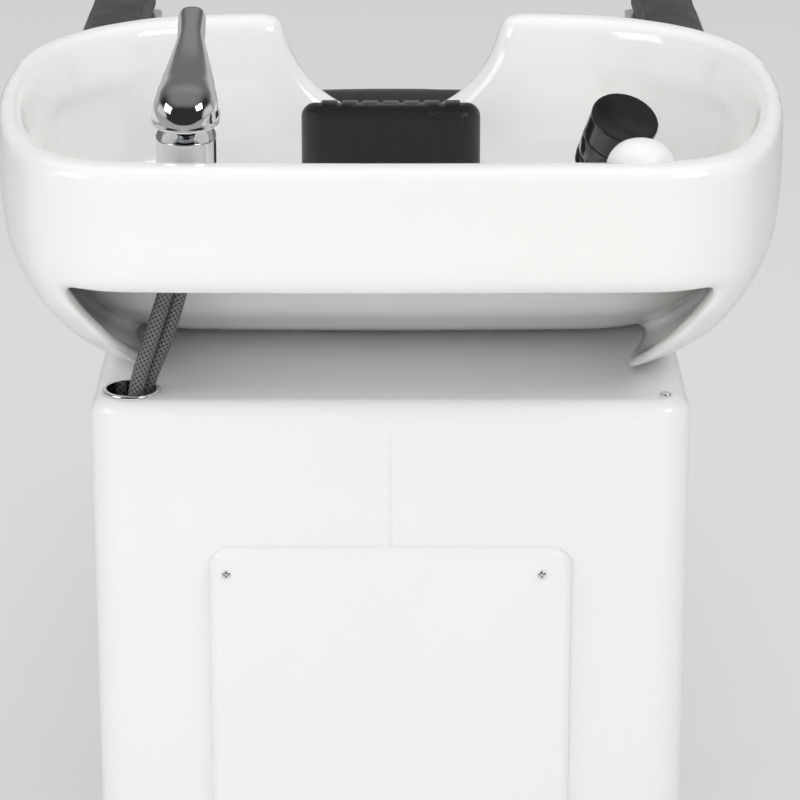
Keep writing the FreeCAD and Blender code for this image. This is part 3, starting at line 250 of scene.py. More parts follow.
def hideFinish(name, paint, crease, scale=520.0, gloss=(0.40, 0.56), depth=0.00022, coat=0.06):
    made = Recipe(name, Base_Color=paint, Roughness=gloss[0], Coat_Weight=coat, Coat_Roughness=0.35)
    spot = made.place()
    warp = made.noise(spot, 30, 3)
    cell = made.cells(spot, scale, "DISTANCE_TO_EDGE")
    grain = made.span(cell, 0.0, 0.18)
    broad = made.noise(spot, 8, 4, 0.55)
    colour = made.mix(grain * made.span(broad, 0.2, 0.7, 0.75, 1.0), crease, paint)
    rough = made.span(warp + broad * 0.6, 0.55, 1.1, *gloss)
    return made.done(colour, rough, made.bump(grain, depth, 0.55, made.bump(broad, 0.0016, 0.30)))


def plasticFinish(name, paint, roughness, swing, scale=160.0, depth=0.00004, coat=0.0):
    made = Recipe(name, Base_Color=paint, Roughness=roughness, Coat_Weight=coat, Coat_Roughness=0.03)
    spot = made.place()
    faint = made.noise(spot, 7, 3)
    soft = tuple(min(1.0, part * 1.18 + 0.004) for part in paint[:3]) + (1.0,)
    rough = made.span(faint, 0.3, 0.75, roughness, roughness + swing)
    grain = made.bump(made.noise(spot, scale, 3), depth, 0.4)
    return made.done(made.mix(made.span(faint, 0.4, 0.8), paint, soft), rough, grain)


def plyFinish():
    paint = {"pale": tone(0.62, 0.44, 0.26), "dark": tone(0.36, 0.22, 0.11), "glue": tone(0.20, 0.11, 0.05)}
    made = Recipe("birchPly", Base_Color=paint["pale"], Roughness=0.62)
    spot = made.place((9, 1.1, 9))
    rings = made.noise(spot, 5, 6, 0.62)
    face = made.mix(made.span(rings, 0.4, 0.62), paint["pale"], paint["dark"])
    layers = made.axes(made.place())[2] * 2100.0
    edge = made.span(layers.wave(), 0.55, 0.95)
    colour = made.mix(edge * 0.22, face, paint["glue"])
    return made.done(colour, made.span(rings, 0.35, 0.7, 0.52, 0.72), made.bump(rings, 0.0003, 0.35))


def braidFinish():
    paint = {"thread": tone(0.19, 0.19, 0.19), "shade": tone(0.035, 0.035, 0.036)}
    turns, pitch = 9.0, 460.0  # threads round the hose, and per metre along it
    made = Recipe("wovenBraid", Base_Color=paint["thread"], Roughness=0.38)
    around, along, _ = made.axes(made.place(source="UV"))
    lap = 2 * math.pi
    left = (around * (turns * lap) + along * pitch * lap * 0.5).wave()
    right = (around * (turns * lap) - along * pitch * lap * 0.5).wave()
    weave = made.span(left.most(right), -0.35, 0.95)
    colour = made.mix(weave, paint["shade"], paint["thread"])
    return made.done(colour, made.span(weave, 0, 1, 0.6, 0.34), made.bump(weave, 0.0005, 0.8))


finishes = {
    "basin_glaze": glazeFinish(),
    "cabinet_gelcoat": gelcoatFinish(),
    "chrome": chromeFinish(),
    "steel_black": powderFinish(),
    "steel_zinc": metalFinish("zincSteel", tone(0.62, 0.63, 0.64), tone(0.50, 0.51, 0.53), 0.26, 0.44),
    "armrest_metal": metalFinish(
        "satinAluminium", tone(0.74, 0.74, 0.75), tone(0.66, 0.66, 0.67), 0.24, 0.36, (60, 1, 60), 6.0),
    "upholstery": hideFinish("warmGreyHide", tone(0.048, 0.043, 0.040), tone(0.026, 0.023, 0.021)),
    "board_ply": plyFinish(),
    "support_foam": hideFinish(
        "blackSkinFoam", tone(0.0075, 0.0068, 0.0066), tone(0.0025, 0.0025, 0.0025), 900.0, (0.27, 0.38),
        0.00026, 0.16),
    "black_gloss": plasticFinish("glossBlack", tone(0.010, 0.010, 0.010), 0.10, 0.07, coat=0.5),
    "black_plastic": plasticFinish("mattBlack", tone(0.022, 0.022, 0.022), 0.50, 0.12, 420.0, 0.0001),
    "white_plastic": plasticFinish("whitePlastic", tone(0.80, 0.80, 0.79), 0.28, 0.10),
    "rubber_black": plasticFinish("blackRubber", tone(0.025, 0.025, 0.025), 0.66, 0.14, 300.0, 0.00015),
    "hose_braid": braidFinish(),
    "brass": metalFinish("plainBrass", tone(0.72, 0.56, 0.27), tone(0.56, 0.41, 0.18), 0.22, 0.40),
}
print("stage: finishes mixed,", len(finishes))

bodyOf = {node: body for body, nodes in frame["record"]["behaviour"]["bodies"].items() for node in nodes}
slotOf = {entry["node"]: entry["material_slot"] for entry in frame["record"]["subparts"]}
for node, thing in frame["nodes"].items():
    thing.data.materials.clear()
    thing.data.materials.append(finishes[slotOf[node]])


# Mesh tools

leastRadius = 1e-5  # a ring's points stay apart on its axis


def addPiece(name, mesh, finish, body, replaced=(), smoothAngle=None):
    for face in mesh.polygons:
        face.use_smooth = True
    if smoothAngle is not None:
        mesh.set_sharp_from_angle(angle=math.radians(smoothAngle))
    thing = placed(name, mesh)
    mesh.materials.clear()
    mesh.materials.append(finishes[finish])
    if body:
        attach(thing, body)
    if replaced:
        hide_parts(*replaced)
    return thing


def meshFrom(name, points, faces):
    mesh = bpy.data.meshes.new(name)
    mesh.from_pydata([tuple(p) for p in points], [], faces)
    mesh.validate()
    mesh.update()
    return mesh


def baked(thing):
    # the evaluated mesh, with the modifiers in it
    shape = thing.evaluated_get(bpy.context.evaluated_depsgraph_get())
    mesh = bpy.data.meshes.new_from_object(shape)
    thing.modifiers.clear()
    return mesh


def shaped(name, mesh, *modifiers):
    # a mesh with modifiers run on it: each is (kind, settings)
    thing = placed(name, mesh)
    for kind, settings in modifiers:
        added = thing.modifiers.new(kind.lower(), kind)
        for key, value in settings.items():
            setattr(added, key, value)
    result = baked(thing)
    bpy.data.objects.remove(thing)
    return result


def grained(name, mesh, voxel):
    return shaped(name, mesh, ("REMESH", {"mode": "VOXEL", "voxel_size": voxel, "adaptivity": 0.0}))


def smoothed(name, mesh, weight, passes, morePasses):
    # smoothed all over, then further where weight gives a place a share above 0
    thing = placed(name, mesh)
    chosen = thing.vertex_groups.new(name="chosen")
    for vertex in mesh.vertices:
        share = weight(vertex.co)
        if share > 0:
            chosen.add([vertex.index], min(1.0, share), "REPLACE")
    for count, group in ((passes, ""), (morePasses, "chosen")):
        smooth = thing.modifiers.new("smooth", "SMOOTH")
        smooth.factor = 0.5
        smooth.iterations = count
        smooth.vertex_group = group
    result = baked(thing)
    bpy.data.objects.remove(thing)
    return result


def facing(mesh):
    bm = bmesh.new()
    bm.from_mesh(mesh)
    bmesh.ops.remove_doubles(bm, verts=bm.verts, dist=1e-6)
    bmesh.ops.recalc_face_normals(bm, faces=bm.faces)
    bm.to_mesh(mesh)
    bm.free()
    return mesh


def loft(name, rings):
    # rings of points, each closed on itself, joined into one skin with both ends shut
    count = len(rings[0])
    points = [tuple(p) for ring in rings for p in ring]
    faces = []
    for row in range(len(rings) - 1):
        for k in range(count):
            a = row * count + k
            b = row * count + (k + 1) % count
            faces.append((a, b, b + count, a + count))
    for ring in (0, len(rings) - 1):
        points.append(tuple(np.mean(np.array(rings[ring], float), axis=0)))
        for k in range(count):
            faces.append((ring * count + k, ring * count + (k + 1) % count, len(points) - 1))
    return facing(meshFrom(name, points, faces))


def evenNormals(mesh, passes, own):
    # corner normals averaged over their neighbours, so that a gloss shows no ripples
    ends = np.empty(len(mesh.edges) * 2, int)
    mesh.edges.foreach_get("vertices", ends)
    first, second = ends.reshape(-1, 2).T
    normals = np.empty(len(mesh.vertices) * 3)
    mesh.vertices.foreach_get("normal", normals)
    normals = normals.reshape(-1, 3)
    for _ in range(passes):
        total = normals * own
        for axis in range(3):
            total[:, axis] += np.bincount(first, normals[second, axis], len(normals))
            total[:, axis] += np.bincount(second, normals[first, axis], len(normals))
        normals = total / np.linalg.norm(total, axis=1)[:, None]
    for face in mesh.polygons:
        face.use_smooth = True
    mesh.normals_split_custom_set_from_vertices(normals.tolist())


def turned(name, profile, centre, axis=(0, 0, 1), steps=72):
    # a profile of (radius, height) spun round an axis through centre
    way = Vector(axis).normalized().to_track_quat("Z", "Y").to_matrix()
    rings = []
    for radius, height in profile:
        ring = []
        for k in range(steps):
            angle = 2 * math.pi * k / steps
            reach = max(radius, leastRadius)
            spot = Vector((reach * math.cos(angle), reach * math.sin(angle), height))
            ring.append(Vector(centre) + way @ spot)
        rings.append(ring)
    return loft(name, rings)


def routeLine(points):
    # a smooth line through a route, as a NURBS spline gives it
    data = bpy.data.curves.new("route", "CURVE")
    data.dimensions = "3D"
    data.resolution_u = 14
    spline = data.splines.new("NURBS")
    spline.points.add(len(points) - 1)
    for spot, point in zip(spline.points, points):
        spot.co = (*point, 1)
    spline.order_u = 3
    spline.use_endpoint_u = True
    holder = placed("route", data)
    line = bpy.data.meshes.new_from_object(holder.evaluated_get(bpy.context.evaluated_depsgraph_get()))
    spots = [v.co.copy() for v in line.vertices]
    bpy.data.objects.remove(holder)
    return spots


def tube(name, line, radius, sides=24, closed=False, swell=None):
    # a round skin along a line, with a UV of share around and metres along
    normal = None
    rings = []
    lengths = [0.0]
    count = len(line)
    turns = [2 * math.pi * j / sides for j in range(sides)]
    for k, spot in enumerate(line):
        ahead = line[(k + 1) % count] if closed or k < count - 1 else spot
        behind = line[k - 1] if closed or k > 0 else spot
        way = (ahead - behind).normalized()
        if normal is None:
            normal = way.orthogonal().normalized()
        normal = (normal - way * normal.dot(way)).normalized()
        side = way.cross(normal)
        size = radius * (swell(k / (count - 1)) if swell else 1.0)
        rings.append([spot + normal * (size * math.cos(a)) + side * (size * math.sin(a)) for a in turns])
        if k:
            lengths.append(lengths[-1] + (spot - line[k - 1]).length)
    points = [p for ring in rings for p in ring]
    faces = []
    shares = []
    rows = count if closed else count - 1
    for row in range(rows):
        under = (row + 1) % count
        top = lengths[row + 1] if row + 1 < count else lengths[-1] + (line[0] - line[-1]).length
        for j in range(sides):
            a, b = row * sides + j, row * sides + (j + 1) % sides
            faces.append((a, under * sides + j, under * sides + (j + 1) % sides, b))
            shares.append([(j / sides, lengths[row]), (j / sides, top), ((j + 1) / sides, top),
                           ((j + 1) / sides, lengths[row])])
    if not closed:
        faces.append(tuple(range(sides)))
        shares.append([(j / sides, 0.0) for j in range(sides)])
        last = (count - 1) * sides
        faces.append(tuple(last + j for j in reversed(range(sides))))
        shares.append([(j / sides, lengths[-1]) for j in reversed(range(sides))])
    mesh = meshFrom(name, points, faces)
    layer = mesh.uv_layers.new(name="along")
    for face, spots in zip(mesh.polygons, shares):
        for loop, share in zip(face.loop_indices, spots):
            layer.data[loop].uv = share
    return mesh


def grown(name, mesh, finish, values, wire, source=None):
    # a Geometry Nodes tree run once on a mesh: values are its named inputs, wire lays its nodes
    tree = bpy.data.node_groups.new(name, "GeometryNodeTree")
    tree.interface.new_socket("Geometry", in_out="INPUT", socket_type="NodeSocketGeometry")
    keys = {}
    for label, value in values.items():
        kind = "Int" if isinstance(value, int) else "Vector" if isinstance(value, tuple) else "Float"
        socket = tree.interface.new_socket(label, in_out="INPUT", socket_type="NodeSocket" + kind)
        keys[label] = socket.identifier
    tree.interface.new_socket("Geometry", in_out="OUTPUT", socket_type="NodeSocketGeometry")
    start = tree.nodes.new("NodeGroupInput")
    end = tree.nodes.new("NodeGroupOutput")
    lay = layer(tree)
    real = lay("GeometryNodeRealizeInstances", {"Geometry": wire(lay, start.outputs)})
    last = lay("GeometryNodeSetMaterial", {"Geometry": real.outputs[0], "Material": finishes[finish]})
    tree.links.new(last.outputs[0], end.inputs[0])
    thing = placed(name, mesh)
    modifier = thing.modifiers.new("grow", "NODES")
    modifier.node_group = tree
    for label, value in values.items():
        modifier[keys[label]] = value
    result = baked(thing)
    bpy.data.objects.remove(thing)
    if source:
        bpy.data.objects.remove(source)
    bpy.data.node_groups.remove(tree)
    result.name = name
    return result


def repeated(lay, points, source, **more):
    # an object's mesh at each of the points
    info = lay("GeometryNodeObjectInfo", {"Object": source})
    values = {"Points": points, "Instance": info.outputs["Geometry"], **more}
    return lay("GeometryNodeInstanceOnPoints", values).outputs[0]


def spread(name, spots, mesh, finish):
    # one mesh repeated at a list of places
    one = placed(name + "One", mesh)

    def wire(lay, given):
        return repeated(lay, given["Geometry"], one, Scale=given["Size"])

    return grown(name, meshFrom(name + "Spots", spots, []), finish, {"Size": (1.0, 1.0, 1.0)}, wire, one)


def joined(name, *meshes):
    bm = bmesh.new()
    for mesh in meshes:
        bm.from_mesh(mesh)
    whole = bpy.data.meshes.new(name)
    bm.to_mesh(whole)
    bm.free()
    return whole


def smoothLine(spots, at):
    # a smooth curve through (place, value) spots, read at one place
    places = [p for p, _ in spots]
    values = [v for _, v in spots]
    if at <= places[0]:
        return values[0]
    if at >= places[-1]:
        return values[-1]
    k = next(i for i in range(len(places) - 1) if places[i + 1] >= at)
    rises = [(values[i + 1] - values[i]) / (places[i + 1] - places[i]) for i in range(len(places) - 1)]
    lean = []
    for i in range(len(places)):
        before, after = rises[max(i - 1, 0)], rises[min(i, len(rises) - 1)]
        lean.append(0.0 if before * after <= 0 else 2 * before * after / (before + after))
    step = places[k + 1] - places[k]
    t = (at - places[k]) / step
    return ((1 + 2 * t) * (1 - t) ** 2 * values[k] + t * (1 - t) ** 2 * step * lean[k]
            + t * t * (3 - 2 * t) * values[k + 1] + t * t * (t - 1) * step * lean[k + 1])


def plateLine(halfWidth, low, high, corner, steps):
    # a rounded rectangle's (across, up) points
    spots = []
    for centreX, centreZ, begin in (
            (halfWidth - corner, high - corner, 0), (-halfWidth + corner, high - corner, 90),
            (-halfWidth + corner, low + corner, 180), (halfWidth - corner, low + corner, 270)):
        for k in range(steps + 1):
            angle = math.radians(begin + 90 * k / steps)
            spots.append((centreX + corner * math.cos(angle), centreZ + corner * math.sin(angle)))
    return spots


# Supply hoses, from the tap's shank through the grommet to the stop valves

hoses = {
    "diameter": 0.0124,
    "slack": (0.630, 0.700),  # the heights between which they leave the cabinet's side and follow the basin
    "cold_supply_hose": [
        (-0.16648, -0.8125, 0.8205), (-0.17348, -0.8126, 0.79696), (-0.18448, -0.8128, 0.76202),
        (-0.19698, -0.8126, 0.7260), (-0.20201, -0.8115, 0.68997), (-0.20328, -0.8085, 0.65504),
        (-0.20328, -0.8085, 0.6240)],
    "hot_supply_hose": [
        (-0.1545, -0.8015, 0.8205), (-0.1630, -0.8014, 0.79696), (-0.1725, -0.8012, 0.76202),
        (-0.18552, -0.8004, 0.73196), (-0.19698, -0.7994, 0.69996), (-0.19299, -0.7940, 0.66003),
        (-0.19299, -0.7940, 0.62997)],
}


def makeHoses():
    for node in ("cold_supply_hose", "hot_supply_hose"):
        line = routeLine(hoses[node])
        length = sum((b - a).length for a, b in zip(line, line[1:]))
        skin = tube(node + "_braid", line, hoses["diameter"] / 2, 28)
        hose = addPiece(node + "_braid", skin, "hose_braid", None)
        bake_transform(hose)
        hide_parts(node)
        tuple(line[0])
        [tuple(p) for p in line]
        print("hose", node, round(length, 4))


makeHoses()
print("stage: hoses laid")


# Basin, one glazed casting

basinForm = {"voxel": 0.0026, "passes": 100, "lipPasses": 90, "lipHalfWidth": 0.125, "lipStart": 0.40,
             "lipLow": 0.80, "lipFade": 4, "merge": 2e-5, "triangles": 180000, "evening": 10,
             "own": 4}


def makeBasin():
    mesh = frame["nodes"]["basin"].data.copy()
    bm = bmesh.new()
    bm.from_mesh(mesh)
    bmesh.ops.remove_doubles(bm, verts=bm.verts, dist=basinForm["merge"])
    bm.to_mesh(mesh)
    bm.free()
    voxel = basinForm["voxel"] * 1.0
    mesh = grained("basinGrain", mesh, voxel)

    def lip(spot):
        if spot.y <= front + basinForm["lipStart"] or spot.z <= basinForm["lipLow"]:
            return 0.0
        return (1 - abs(spot.x) / basinForm["lipHalfWidth"]) * basinForm["lipFade"]

    # the rim's edges become round: a coarser grain needs fewer passes, by its square
    share = (basinForm["voxel"] / voxel) ** 2
    soft = smoothed("basinGrain", mesh, lip, round(basinForm["passes"] * share),
                    round(basinForm["lipPasses"] * share))
    share = min(1.0, basinForm["triangles"] / (2 * len(soft.polygons)))
    final = shaped("basin_cast", soft, ("DECIMATE", {"ratio": share}))
    final.name = "basin_cast"
    evenNormals(final, basinForm["evening"], basinForm["own"])
    print("basin faces", len(final.polygons))
    addPiece("basin_cast", final, "basin_glaze", "basin_unit", ["basin"])


makeBasin()
print("stage: basin cast")


# Mixer tap: the lever's lengths run back from its cross pin

lever = {
    "centre": (-0.156, front + 0.088), "front": 0.0263, "reach": 0.105, "tip": 0.0052, "square": 2.7,
    "lip": 0.0033, "lipStep": 0.0010, "lipEnd": 0.070, "lipFade": 0.03, "lipWall": 0.82, "belly": 0.6,
    "edge": (0.0004, 0.0006), "stepMost": 0.3,
    "halfWidth": [(0.0, 0.0262), (0.010, 0.0258), (0.020, 0.0243), (0.032, 0.0226), (0.045, 0.0202),
                  (0.056, 0.0176), (0.065, 0.0154), (0.075, 0.0128), (0.083, 0.0113), (0.093, 0.0110),
                  (0.105, 0.0109)],
    "under": [(-0.0263, 0.9264), (-0.014, 0.9276), (0.0, 0.9308), (0.018, 0.9355), (0.045, 0.9455),
              (0.065, 0.9560), (0.083, 0.9680), (0.105, 0.9860)],
    "over": [(-0.0263, 0.9335), (-0.021, 0.9470), (-0.011, 0.9558), (0.0, 0.9600), (0.020, 0.9640),
             (0.045, 0.9703), (0.065, 0.9775), (0.083, 0.9860), (0.105, 0.9968)],
}


def leverRing(place, shrink):
    # one cross-section: a flat underside, a lip at each side, and an arch over them
    at = min(place, lever["reach"])
    half = smoothLine(lever["halfWidth"], at)
    if place < 0:
        half *= math.sqrt(max(1 - (place / lever["front"]) ** 2, 0.0))
    half *= shrink
    low, high = smoothLine(lever["under"], at), smoothLine(lever["over"], at)
    middle = (low + high) / 2
    low, high = middle + (low - middle) * shrink, middle + (high - middle) * shrink
    fade = min(1.0, max(0.0, (lever["lipEnd"] - place) / lever["lipFade"]))
    lip = lever["lip"] * fade
    inset = min(lever["lipStep"] * fade, half * lever["stepMost"])
    (edge, up), belly = lever["edge"], half * lever["belly"]
    side = [(half - edge, low), (half, low + up * fade), (half, low + lip * lever["lipWall"]),
            (half - inset, low + lip)]
    arch = []
    for k in range(1, 24):
        t = math.pi * k / 24
        across = abs(math.cos(t)) ** (2 / lever["square"]) * math.copysign(1, math.cos(t))
        over = (high - low - lip) * math.sin(t) ** (2 / lever["square"])
        arch.append(((half - inset) * across, low + lip + over))
    return side + arch + [(-x, z) for x, z in reversed(side)] + [(-belly, low), (0.0, low), (belly, low)]


def makeLever():
    middleX, middleY = lever["centre"]
    places = [(-lever["front"] * math.cos(math.radians(a)), 1.0) for a in range(3, 90, 6)]
    places += [(lever["reach"] * k / 34, 1.0) for k in range(34)]
    places += [(lever["reach"] + lever["tip"] * math.sin(math.radians(a)), math.cos(math.radians(a)))
               for a in (0, 25, 50, 70, 84)]
    rings = [[(middleX + x, middleY + place, z) for x, z in leverRing(place, shrink)]
             for place, shrink in places]
    mesh = shaped("tap_lever_form", loft("tapLever", rings), ("SUBSURF", {"levels": 1, "render_levels": 1}))
    addPiece("tap_lever_form", mesh, "chrome", "lever", ["tap_lever"], 62)


makeLever()


# Pull-out handset: the head's lengths run back along its axis from the middle of its back

handset = {
    "back": (0.183, front + 0.140, 0.920), "lean": (0.223, -0.506, 0.830), "dock": (0.198, front + 0.118),
    "head": [(0.0, -0.0046), (0.008, -0.0043), (0.015, -0.0031), (0.021, -0.0013), (0.0248, -0.0002),
             (0.0262, 0.0), (0.0268, -0.0005), (0.0270, -0.0016), (0.0270, -0.0212), (0.0264, -0.0218),
             (0.020, -0.0218)],
    "sleeve": [(0.020, -0.0200), (0.0261, -0.0200), (0.0261, -0.0224), (0.0267, -0.0226), (0.0270, -0.0232),
               (0.0270, -0.0394), (0.0266, -0.0400), (0.020, -0.0400)],
    "nipple": [(0.0, 0.0), (0.0076, 0.0), (0.0080, 0.0006), (0.0080, 0.0125), (0.0, 0.0125)],
    "nippleFoot": 0.794,
    "rim": [(0.020, -0.0400), (0.0261, -0.0400), (0.0261, -0.0421), (0.0268, -0.0424), (0.0270, -0.0431),
            (0.0270, -0.0505), (0.0267, -0.0526), (0.0260, -0.0537), (0.0250, -0.0540), (0.0245, -0.0537),
            (0.0244, -0.0520), (0.020, -0.0512)],
    "plate": [(0.0, -0.0500), (0.0243, -0.0500), (0.0243, -0.0534), (0.0236, -0.0540), (0.0, -0.0543)],
    "nozzleRows": ((6, 0.0058), (12, 0.0116), (18, 0.0176)), "nozzle": (0.0009, 0.0016),
    "neck": [(0.198, -0.777, 0.806), (0.198, -0.777, 0.830), (0.198, -0.777, 0.856), (0.1978, -0.7765, 0.876),
             (0.195, -0.770, 0.892), (0.188, -0.759, 0.902), (0.1795, -0.7465, 0.9065)],
    "neckRadius": 0.0120, "neckTaper": 0.04, "voxel": 0.0009, "tryingVoxel": 0.0014,
    "blend": {"reach": 0.026, "fade": 0.010, "allOver": 2, "passes": 16},
    "dome": {"centre": (0.191, front + 0.075, 0.860), "radius": 0.0265, "height": 0.060, "round": 0.0225},
}


def makeHandset():
    back = Vector(handset["back"])
    lean = Vector(handset["lean"]).normalized()
    head = turned("headForm", handset["head"], back, lean, 96)
    neck = tube("neckForm", routeLine(handset["neck"]), handset["neckRadius"], 48,
                swell=lambda t: 1.0 - handset["neckTaper"] * t)
    nipple = turned("nipple", handset["nipple"], (*handset["dock"], handset["nippleFoot"]))
    voxel = handset["voxel"]
    form = grained("handsetForm", joined("handsetParts", head, neck, nipple), voxel)
    root, blend = Vector(handset["neck"][-2]), handset["blend"]
    final = smoothed("handsetForm", form, lambda p: (blend["reach"] - (p - root).length) / blend["fade"],
                     blend["allOver"], blend["passes"])
    sleeve = turned("sleeve", handset["sleeve"], back, lean, 96)
    addPiece("handset_body", joined("handset_body", final, sleeve), "black_gloss", "handset",
             ["shower_head", "shower_handle"], 42)
    rim = turned("handset_rim", handset["rim"], back, lean, 96)
    addPiece("handset_rim", rim, "black_gloss", "handset", ["shower_head_rim"], 40)
    plate = turned("handset_plate", handset["plate"], back, lean, 72)
    way = lean.to_track_quat("Z", "Y").to_matrix()
    face = handset["plate"][-1][1]
    spots = []
    for count, radius in handset["nozzleRows"]:
        for k in range(count):
            angle = 2 * math.pi * k / count
            spots.append(back + way @ Vector((radius * math.cos(angle), radius * math.sin(angle), face)))
    size, rise = handset["nozzle"]
    profile = [(0.0, 0.0010), (size, 0.0010), (size, -rise * 0.6), (size * 0.7, -rise), (0.0, -rise)]
    nozzles = spread("nozzles", spots, turned("nozzle", profile, (0, 0, 0), lean, 10), "black_plastic")
    addPiece("handset_plate", joined("handset_plate", plate, nozzles), "black_plastic", "handset",
             ["shower_spray_plate"], 40)
    dome = handset["dome"]
    profile = [(0.0, 0.0), (dome["radius"], 0.0), (dome["radius"], 0.002)]
    for k in range(13):
        angle = math.radians(90 * k / 12)
        profile.append((dome["radius"] - dome["round"] * (1 - math.cos(angle)),
                        dome["height"] - 0.001 - dome["round"] * (1 - math.sin(angle))))
    profile.append((0.0, dome["height"]))
    addPiece("rest_dome_form", turned("rest_dome_form", profile, dome["centre"], steps=96), "white_plastic",
             "basin_unit", ["shower_rest_dome"], 50)


makeHandset()
print("stage: tap and handset made")


# Head support, a moulded block with seven ribs across its top

support = {
    "halfWidth": 0.0735, "start": 0.26208, "depth": 0.092, "top": 0.898, "height": 0.076, "fall": 0.024,
    "corner": 0.020, "edge": 0.012, "ribs": 7, "pitch": 0.0168, "ribWidth": 0.0132, "ribRise": 0.0019,
    "ribFrom": 0.045, "ribTo": 0.80, "seat": 0.0003, "dip": 0.0045, "dipReach": 0.046, "dipDepth": 0.034,
    "lead": 0.012, "bend": 1.25, "leastCorner": 0.006, "ribEdge": (0.0003, 0.0005, 0.0012), "ribSink": 0.002,
    "foot": ((0.003, 0.0), (0.0008, 0.0008), (0.0, 0.003), (0.0, 0.02)),  # the lowest rings' insets, heights
    "ribEnds": {0: 0.1, 1: 0.9, 13: 0.9, 14: 0.55},  # shares of the rise
}


def supportTop(y):
    third = front + support["start"] + support["depth"] / 3
    rest = support["depth"] * 2 / 3
    t = min(1.0, max(0.0, (y - third + support["lead"]) / (rest + support["lead"])))
    return support["top"] - support["fall"] * t ** support["bend"]


def ribFoot(y):
    # the top where a rib stands, over the rounded front edge too
    inside = max(0.0, 1 - (y - front - support["start"]) / support["edge"])
    return supportTop(y) - support["edge"] * (1 - math.sqrt(1 - inside ** 2))


def dipped(mesh):
    # the front of the top is drawn down towards its middle, where the neck lies
    for vertex in mesh.vertices:
        x, y, z = vertex.co
        share = 1.0
        for part in (1 - abs(x) / support["halfWidth"],
                     1 - (y - front - support["start"]) / support["dipReach"],
                     1 - (support["top"] - z) / support["dipDepth"]):
            part = min(1.0, max(0.0, part))
            share *= part * part * (3 - 2 * part)
        vertex.co.z -= support["dip"] * share
    return mesh


def makeSupport():
    begin = front + support["start"]
    low = support["top"] - support["height"] + support["seat"]
    rings = []

    def ring(inset, height):
        spots = plateLine(support["halfWidth"] - inset, begin + inset, begin + support["depth"] - inset,
                          max(support["corner"] - inset, support["leastCorner"]), 10)
        return [(x, y, height(y)) for x, y in spots]

    for inset, lift in support["foot"]:
        rings.append(ring(inset, lambda y, z=low + lift: z))
    for k in range(9):
        angle = math.radians(90 * k / 8)
        rings.append(ring(support["edge"] * (1 - math.cos(angle)),
                          lambda y, a=angle: supportTop(y) - support["edge"] * (1 - math.sin(a))))
    centreY = begin + support["depth"] / 2
    last = rings[-1]
    for share in (0.75, 0.5, 0.25):
        spots = [(x * share, centreY + (y - centreY) * share) for x, y, _ in last]
        rings.append([(x, y, supportTop(y)) for x, y in spots])
    block = loft("supportBlock", rings)
    reach = support["ribTo"] - support["ribFrom"]
    places = [begin + support["depth"] * (support["ribFrom"] + reach * k / 14) for k in range(15)]
    half = support["ribWidth"] / 2
    small, middle, wide = support["ribEdge"]
    slices = []
    for k, y in enumerate(places):
        base = ribFoot(y) - support["ribSink"]
        crest = ribFoot(y) + support["ribRise"] * support["ribEnds"].get(k, 1.0)
        side = [(half, base), (half, crest - wide), (half - small, crest - middle), (half - wide, crest)]
        line = [(-half, base)] + side + [(-x, z) for x, z in reversed(side[1:])]
        slices.append([(x, y, z) for x, z in line])
    rib = placed("rib", loft("rib", slices))

    def wire(lay, given):
        values = {"Count": given["Ribs"], "Start Location": given["First"], "Offset": given["Pitch"]}
        return repeated(lay, lay("GeometryNodeMeshLine", values).outputs[0], rib)

    row = (support["ribs"] - 1) / 2 * support["pitch"]
    values = {"Ribs": support["ribs"], "First": (-row, 0.0, 0.0), "Pitch": (support["pitch"], 0.0, 0.0)}
    ribs = grown("ribs", meshFrom("ribSpot", [(0, 0, 0)], []), "support_foam", values, wire, rib)
    whole = dipped(joined("head_support_form", block, ribs))
    pad = addPiece("head_support_form", whole, "support_foam", "head_pad", ["head_support_pad"], 42)


makeSupport()
print("stage: head support made")


# Cabinet front: its panel, mould ridge and screws

cabinet = {"face": front + 0.058}
ridge = {"low": 0.592, "high": 0.6965, "halfWidth": 0.0014, "rise": 0.0007, "sunk": 0.0003,
         "rows": 20, "fadeRows": 6, "endShare": 0.15, "back": 0.001}
panel = {"halfWidth": 0.143, "low": 0.150, "high": 0.594, "thick": 0.009, "corner": 0.016, "round": 0.0075,
         "leastCorner": 0.004}
screwForm = {"radius": 0.0036, "rise": 0.0022, "slot": 0.0013, "lobe": 0.42, "shank": (0.0020, 0.0150),
             "spots": ((-0.129, 0.574), (0.119, 0.574), (-0.129, 0.170), (0.119, 0.170))}


def screwHead():
    # a pan head with a four-lobed recess, facing -Y, and its shank
    radius, rise, slot = screwForm["radius"], screwForm["rise"], screwForm["slot"]
    shank, length = screwForm["shank"]
    profile = [(0.0, -rise + 0.0012, 0), (slot * 0.5, -rise + 0.0012, 1), (slot, -rise + 0.0004, 1),
               (slot * 1.25, -rise, 1), (radius * 0.62, -rise + 0.00005, 0),
               (radius * 0.86, -rise + 0.0005, 0), (radius * 0.98, -rise + 0.0012, 0), (radius, -0.0003, 0),
               (radius, 0.0, 0), (shank, 0.0, 0), (shank, length, 0), (0.0, length, 0)]
    rings = []
    for size, depth, lobed in profile:
        ring = []
        for k in range(32):
            angle = 2 * math.pi * k / 32
            reach = max(size, leastRadius) * (1 + screwForm["lobe"] * math.cos(4 * angle) * lobed)
            ring.append((reach * math.cos(angle), depth, reach * math.sin(angle)))
        rings.append(ring)
    return loft("screwHead", rings)


